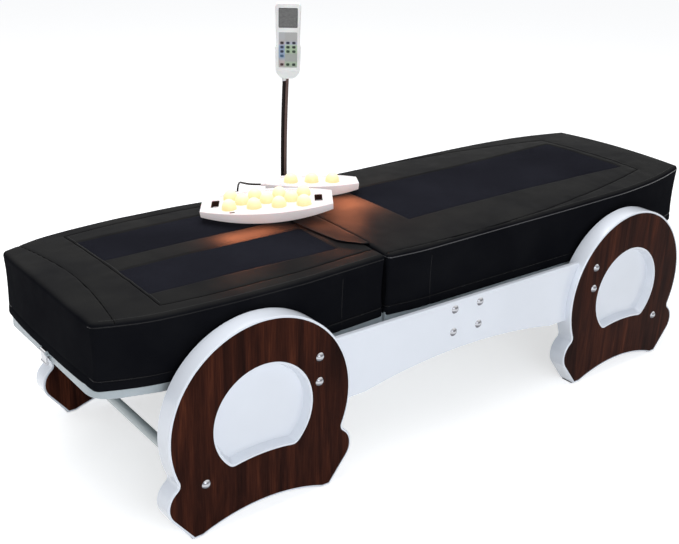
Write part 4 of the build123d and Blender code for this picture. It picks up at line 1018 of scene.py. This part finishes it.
def dress_mats(cover, piping, plain, cloth, thread, dark):
    """Both mats with their trim, cloth and stitches. The piping is one material for each mat."""
    foot, head = foot_mat(), head_mat()
    for mat, edge in zip((foot, head), piping):
        piece = add_piece(mat.name + "_mat", mat_mesh(mat), mat.body, cover)
        if mat is head:
            cut_trench(piece)
        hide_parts(mat.name + "_cushion")
        mat_trim(mat, edge, plain)
    inner = STRIPE_SIDES[0]
    for side, low, high in (
        ("near", lambda x: -stripe_side(x), lambda x: -inner), ("far", lambda x: inner, stripe_side),
    ):
        lay_patch("foot_stripe_" + side, foot, STRIPE, low, high, 28, "foot_fabric", cloth)
    lay_patch("head_panel", head, PANEL, lambda x: -panel_half(x), panel_half, 52, "head_fabric", cloth)
    for mat in (foot, head):
        seam_threads(mat, thread)
    sunk_cords(foot, head, dark)
    for piece in bpy.data.objects:
        if piece.name.startswith("foot_") and piece.name not in frame["nodes"] and piece.type == "MESH":
            bow_foot_end(piece)
    return head


def flap_profile(y, head):
    """Places through the flap at y, from its foot edge over the joint and down its tab."""
    share = min(abs(y) / FLAP_SHOULDER, 1.0)
    cut = max(0.0, abs(y) - FLAP_SHOULDER) / (FLAP_HALF - FLAP_SHOULDER)
    back = HEAD_MAT_START - FLAP_GAP
    low = FLAP_START + FLAP_BOW * share**2
    low += (back - FLAP_TIP - low) * cut**1.3
    base = MAT_EDGE + MAT_CROWN * (1 - (y / head.wide(HEAD_MAT_START)) ** 2) + FLAP_LIFT
    top = base + FLAP_THICK
    places = []
    for i in range(11):
        x = low + (back - 0.003 - low) * i / 10
        rim = min(x - low, FLAP_RIM)
        ripple = FLAP_RIPPLE * noise.noise((x * 22, y * 13, 2.0))
        places.append((x, top + max(FLAP_CURL * (1 - rim / FLAP_RIM) ** 2 + ripple, -0.0003)))
    places += [(back - 0.001, top - 0.0006), (back, top - 0.0022)]
    places += [(back, top - 0.004 - (FLAP_TAB - 0.004) * i / 4) for i in range(5)]
    return places


def flap_piece(head, material, thread):
    """The leather strip over the joint of the two mats, with a tab down between them."""
    rows = spaced(-FLAP_HALF + 0.001, FLAP_HALF - 0.001, 0.008)
    points = [(x, y, z) for y in rows for x, z in flap_profile(y, head)]
    mesh = sheet_mesh("mat_joint_flap", points, len(points) // len(rows))
    piece = add_piece("mat_joint_flap", mesh, "bed_frame", material)
    thicken(piece, FLAP_LEATHER)
    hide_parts("junction_flap")
    line = []
    for y in spaced(-FLAP_SHOULDER, FLAP_SHOULDER, 0.01):
        (x, z), (beyond, above) = flap_profile(y, head)[:2]
        share = FLAP_STITCH_INSET / (beyond - x)
        line.append(Vector((x + FLAP_STITCH_INSET, y, z + (above - z) * share + 0.0001)))
    stitch_row("flap_stitches", line, "bed_frame", thread)


# Handset cable, in metres
CABLE_RADIUS = 0.0045
CABLE_WIDTH = 0.007
CABLE_STEPS = 28


def handset_lead(material):
    """The handset's cable beside the gooseneck."""
    low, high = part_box("handset_cable")
    x = high.x - CABLE_RADIUS
    y = (low.y + high.y) / 2
    sway = high.x - low.x - CABLE_WIDTH
    shares = [i / CABLE_STEPS for i in range(CABLE_STEPS + 1)]
    points = [(x - 4 * sway * t * (1 - t), y, low.z + (high.z - low.z) * t) for t in shares]
    piece = placed("handset_lead", tube_mesh("handset_lead", points, CABLE_RADIUS))
    piece.data.materials.append(material)
    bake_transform(piece)
    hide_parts("handset_cable")


# Projectors: their places in metres with turn and tilt in degrees, and the rest in millimetres

FRONT_PROJECTOR = (-0.325, 0.072, 0.52792, -34.5, -4.5)
REAR_PROJECTOR = (-0.124, 0.163, 0.524619, -30.0, 0.0)
FRONT_STONES = [(x, y, 36.0) for y in (-38, 38) for x in (-93, -31, 31, 93)]
FRONT_STONES += [(x, 0, 36.0) for x in (-62, 0, 62)]
REAR_STONES = [(x, 0, 34.0) for x in (-56, 0, 56)]
STONE_RADIUS = 19.0
STONE_HEIGHT = 27.0
STONE_RINGS = 14
STONE_AROUND = 24

# Each collar, dark painted shade in an opening of the cover: name, centre, outer and inner size with
# their corner radii, and heights
GRIP_COLLAR = ((19.6, 55.6, 4.8), (18.0, 54.0, 4.0), (24.0, 38.6))
COLLARS = (
    ("front_grip_left", (-130, 0), *GRIP_COLLAR),
    ("front_grip_right", (130, 0), *GRIP_COLLAR),
    ("front_lamp_socket", (-84, -74), (12.6, 8.6, 1.0), (4.0, 3.0, 0.8), (35.0, 39.6)),
)


def shaped_piece(name, points, faces, spot, material):
    """A closed mesh given in a projector's own millimetres."""
    x, y, z, turn, tilt = spot
    place = Matrix.Translation((x, y, z)) @ Matrix.Rotation(radians(turn), 4, "Z")
    place = place @ Matrix.Rotation(radians(tilt), 4, "Y")
    mesh = closed_mesh(name, [place @ (Vector(point) * MM) for point in points], faces)
    return add_piece(name, mesh, "bed_frame", material)


def stones(name, spot, places, stands_for, material):
    """Round stones whose upper half is drawn out to a blunt dome."""
    turns = [2 * pi * k / STONE_AROUND for k in range(STONE_AROUND)]
    points, faces = [], []
    for cx, cy, cz in places:
        loops = []
        for i in range(1, STONE_RINGS):
            lean = pi * i / STONE_RINGS
            up = cos(lean)
            reach = STONE_RADIUS * sin(lean) ** (0.86 if up > 0 else 1.0)
            z = cz + (STONE_HEIGHT if up > 0 else STONE_RADIUS) * up
            loops.append(range(len(points), len(points) + STONE_AROUND))
            points += [(cx + reach * cos(turn), cy + reach * sin(turn), z) for turn in turns]
        for upper, lower in zip(loops, loops[1:]):
            faces += band_faces(upper, lower)
        low, high = len(points), len(points) + 1
        points += [(cx, cy, cz - STONE_RADIUS), (cx, cy, cz + STONE_HEIGHT)]
        for k in range(STONE_AROUND):
            n = (k + 1) % STONE_AROUND
            faces += [(high, loops[0][k], loops[0][n]), (low, loops[-1][n], loops[-1][k])]
    piece = shaped_piece(name, points, faces, spot, material)
    piece.data.shade_smooth()
    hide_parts(stands_for)


def round_rectangle(width, length, radius):
    points = []
    for cx, cy, start in ((1, 1, 0), (-1, 1, 90), (-1, -1, 180), (1, -1, 270)):
        for i in range(6):
            turn = radians(start + 90 * i / 5)
            points.append((
                cx * (width / 2 - radius) + radius * cos(turn),
                cy * (length / 2 - radius) + radius * sin(turn),
            ))
    return points


def shade_collar(name, center, size, hole, heights, material):
    """A dark collar inside an opening of the front projector's cover: painted shade, standing for the
    shadow in the opening.
    """
    outer, inner = round_rectangle(*size), round_rectangle(*hole)
    low, high = heights
    count = len(outer)
    rings = [(outer, low), (outer, high), (inner, high), (inner, low)]
    points = [(center[0] + x, center[1] + y, z) for ring, z in rings for x, y in ring]
    loops = [range(row * count, (row + 1) * count) for row in range(4)]
    faces = []
    for first, second in zip(loops, loops[1:] + loops[:1]):
        faces += band_faces(first, second)
    shaped_piece(name, points, faces, FRONT_PROJECTOR, material)


def dress_projectors(glow, dark):
    stones("front_stones", FRONT_PROJECTOR, FRONT_STONES, "front_projector_balls", glow)
    stones("rear_stones", REAR_PROJECTOR, REAR_STONES, "rear_projector_balls", glow)
    for collar in COLLARS:
        shade_collar(*collar, dark)


# Stage and light

WORLD_COLOR = (0.95, 0.97, 1.0)
WORLD_STRENGTH = 0.42
FLOOR_REACH = 14
FLOOR_DROP = 0.0003
FLOOR_COLOR = (0.9, 0.9, 0.9)
FLOOR_GLOW = 0.57

# Name, place, the point it looks at, size in metres and watts of each softbox, and a colour
SOFTBOXES = (
    ("top_softbox", (-0.3, 0.5, 3.6), (0, 0, 0.4), (3.6, 2.6), 96),
    ("front_softbox", (-1.6, -3.6, 1.7), (0, 0, 0.3), (2.4, 1.8), 46, (0.93, 0.96, 1.0)),
    ("side_softbox", (-3.6, 0.8, 1.4), (-0.8, 0, 0.4), (1.6, 1.6), 4),
)

# Name, place, size in metres and watts of the lamps that stand for the stones' warm light
GLOW_LAMPS = (
    ("foot_strip_glow", (-0.4, -0.012, 0.562), (0.22, 0.03), 1.8),
    ("flap_glow", (-0.262, -0.05, 0.562), (0.03, 0.09), 0.22),
    ("head_mat_glow", (-0.085, 0.05, 0.58), (0.08, 0.1), 1.7),
)
GLOW_COLOR = (1.0, 0.29, 0.12)
LIT_LEATHER = ("foot_mat", "head_mat", "mat_joint_flap")


def seen_rays(tree):
    """One for camera, glossy and transmission rays, and zero for the rest."""
    rays = add_node(tree, "LightPath").outputs
    total = rays["Is Camera Ray"]
    for name in ("Is Glossy Ray", "Is Transmission Ray"):
        both = {0: total, 1: rays[name]}
        total = add_node(tree, "Math", both, operation="MAXIMUM").outputs[0]
    return total


def white_world():
    world = bpy.data.worlds.new("white_studio")
    bpy.context.scene.world = world
    world.use_nodes = True
    tree = world.node_tree
    tree.nodes.clear()
    light = {"Color": WORLD_COLOR, "Strength": WORLD_STRENGTH}
    plain = add_node(tree, "Background", light).outputs[0]
    shown = add_node(tree, "Background", {"Color": (1, 1, 1)}).outputs[0]
    either = {"Fac": seen_rays(tree), 1: plain, 2: shown}
    mixed = add_node(tree, "MixShader", either).outputs[0]
    add_node(tree, "OutputWorld", {"Surface": mixed})


def floor():
    reach = FLOOR_REACH
    corners = [(-reach, -reach, 0), (reach, -reach, 0), (reach, reach, 0), (-reach, reach, 0)]
    piece = placed("floor", plain_mesh("floor", corners, [(0, 1, 2, 3)]))
    piece.location.z = -FLOOR_DROP
    material = bpy.data.materials.new("pale_floor")
    material.use_nodes = True
    tree = material.node_tree
    tree.nodes.clear()
    diffuse = add_node(tree, "BsdfDiffuse", {"Color": FLOOR_COLOR}).outputs[0]
    product = {0: seen_rays(tree), 1: FLOOR_GLOW}
    strength = add_node(tree, "Math", product, operation="MULTIPLY").outputs[0]
    light = add_node(tree, "Emission", {"Strength": strength}).outputs[0]
    both = add_node(tree, "AddShader", {0: diffuse, 1: light}).outputs[0]
    add_node(tree, "OutputMaterial", {"Surface": both})
    piece.data.materials.append(material)


def lamp(name, place, target, size, power, color=(1, 1, 1)):
    light = bpy.data.lights.new(name, "AREA")
    light.shape = "RECTANGLE"
    light.size, light.size_y = size
    light.energy = power
    light.color = color
    holder = placed(name, light)
    holder.location = place
    holder.rotation_mode = "QUATERNION"
    holder.rotation_quaternion = (Vector(target) - Vector(place)).to_track_quat("-Z", "Y")
    return holder


def projector_glow():
    """Warm light that the two projectors throw on the leather round them."""
    lit = bpy.data.collections.new("lit_leather")
    for name in LIT_LEATHER:
        lit.objects.link(bpy.data.objects[name])
    for name, place, size, power in GLOW_LAMPS:
        glow = lamp(name, place, (place[0], place[1], 0), size, power, GLOW_COLOR)
        glow.light_linking.receiver_collection = lit


def studio():
    bpy.context.scene.view_settings.view_transform = "Standard"
    white_world()
    floor()
    for softbox in SOFTBOXES:
        lamp(*softbox)


# Materials on the nodes of the CAD model

KEY_COLORS = {f"key_{i:02d}": color for i, color in enumerate((
    (0.02, 0.008, 0.011), (0.01, 0.014, 0.045), (0.01, 0.012, 0.03), (0.016, 0.028, 0.075),
    (0.008, 0.028, 0.01), (0.009, 0.02, 0.011), (0.01, 0.016, 0.05), (0.011, 0.038, 0.013),
    (0.016, 0.044, 0.02), (0.045, 0.11, 0.19), (0.042, 0.008, 0.01), (0.008, 0.034, 0.01),
    (0.008, 0.022, 0.01),
), 1)}


def paint(node_name, material):
    slots = frame["nodes"][node_name].data.materials
    slots.clear()
    slots.append(material)


def slot_materials():
    plastic = moulded("black_plastic", (0.022, 0.022, 0.023), 0.42)
    rubber = moulded("belt_rubber", (0.02, 0.02, 0.02), 0.7)
    soft_gloss = {"Specular_IOR_Level": 0.2}
    return {
        "white_lacquer": lacquer("white_lacquer", (0.79, 0.83, 0.9)),
        "walnut_veneer": walnut(),
        "glide_rubber": rubber,
        "bright_chrome": chrome(),
        "grey_green_steel": lacquer("grey_green_paint", (0.5, 0.56, 0.57), 0.32),
        "grey_green_shell": moulded("grey_green_shell", (0.45, 0.51, 0.54), 0.38, 0.06),
        "zinc_steel": metal("zinc_steel", (0.6, 0.61, 0.63), 0.34),
        "plywood": plywood(),
        # Its last colour factors are painted top light, making the leather lighter where it looks up.
        "black_leather": leather(
            "black_leather", (0.0046, 0.0049, 0.0066), (0.0074, 0.0078, 0.0096), (0.4, 0.48), 0.006,
            (2.55, 2.4, 1.9),
        ),
        "slate_fabric": woven("slate_weave", (0.003, 0.0031, 0.0045), (0.027, 0.0275, 0.037), 0.0016),
        "black_plastic": plastic,
        "motor_black": plastic,
        "belt_rubber": rubber,
        "aluminium_pulley": metal("machined_alloy", (0.75, 0.76, 0.78), 0.28),
        "jade_stone": jade(),
        "gooseneck_black": moulded(
            "gooseneck_black", (0.008, 0.005, 0.005), 0.45, Specular_IOR_Level=0.15,
        ),
        "cable_brown": moulded("cable_brown", (0.15, 0.098, 0.088), 0.5, **soft_gloss),
        "handset_white": moulded(
            "white_case", (0.92, 0.915, 0.9), 0.36, 0.05, Subsurface_Weight=0.1, Subsurface_Scale=0.01,
        ),
        "handset_panel": handset_panel(),
        "projector_white": projector_case(),
        "jade_glow": glowing_jade(),
        "cord_black": moulded("black_rubber", (0.03, 0.019, 0.017), 0.5, 0.1, **soft_gloss),
    }


def main():
    photo_camera()
    slots = slot_materials()
    black_leather = slots["black_leather"]
    for cord in CORDS:
        free_cord(*cord, slots["cord_black"])
    for row in frame["record"]["subparts"]:
        if row["node"] not in KEY_COLORS:
            paint(row["node"], slots[row["material_slot"]])
    for name, color in KEY_COLORS.items():
        paint(name, moulded(name, color, 0.4, 0.03))
    # The head mat's piping is a glossier copy of the foot mat's, with a lighter colour that is a painted
    # highlight.
    piping = leather("piping_leather", (0.007, 0.007, 0.008), (0.012, 0.012, 0.013), (0.22, 0.3), 0.1)
    glossy_lit = leather("glossy_piping", (0.02, 0.02, 0.023), (0.032, 0.032, 0.036), (0.16, 0.22), 0.5)
    # Near-black colour without shine for the cords in the seam grooves: painted shade.
    seam_black = moulded("seam_black", (0.0012, 0.0012, 0.0014), 0.8, 0.3, Specular_IOR_Level=0.0)
    thread = moulded("black_thread", (0.022, 0.022, 0.022), 0.6, 0.3)
    # Dark brown for the collars in the projector's openings: painted shade.
    grip_liner = moulded("grip_liner", (0.05, 0.02, 0.014), 0.6, 0.1, Specular_IOR_Level=0.1)
    head = dress_mats(black_leather, (piping, glossy_lit), piping, slots["slate_fabric"], thread, seam_black)
    flap_piece(head, black_leather, thread)
    dress_projectors(slots["jade_glow"], grip_liner)
    handset_lead(slots["cable_brown"])
    studio()
    projector_glow()


main()
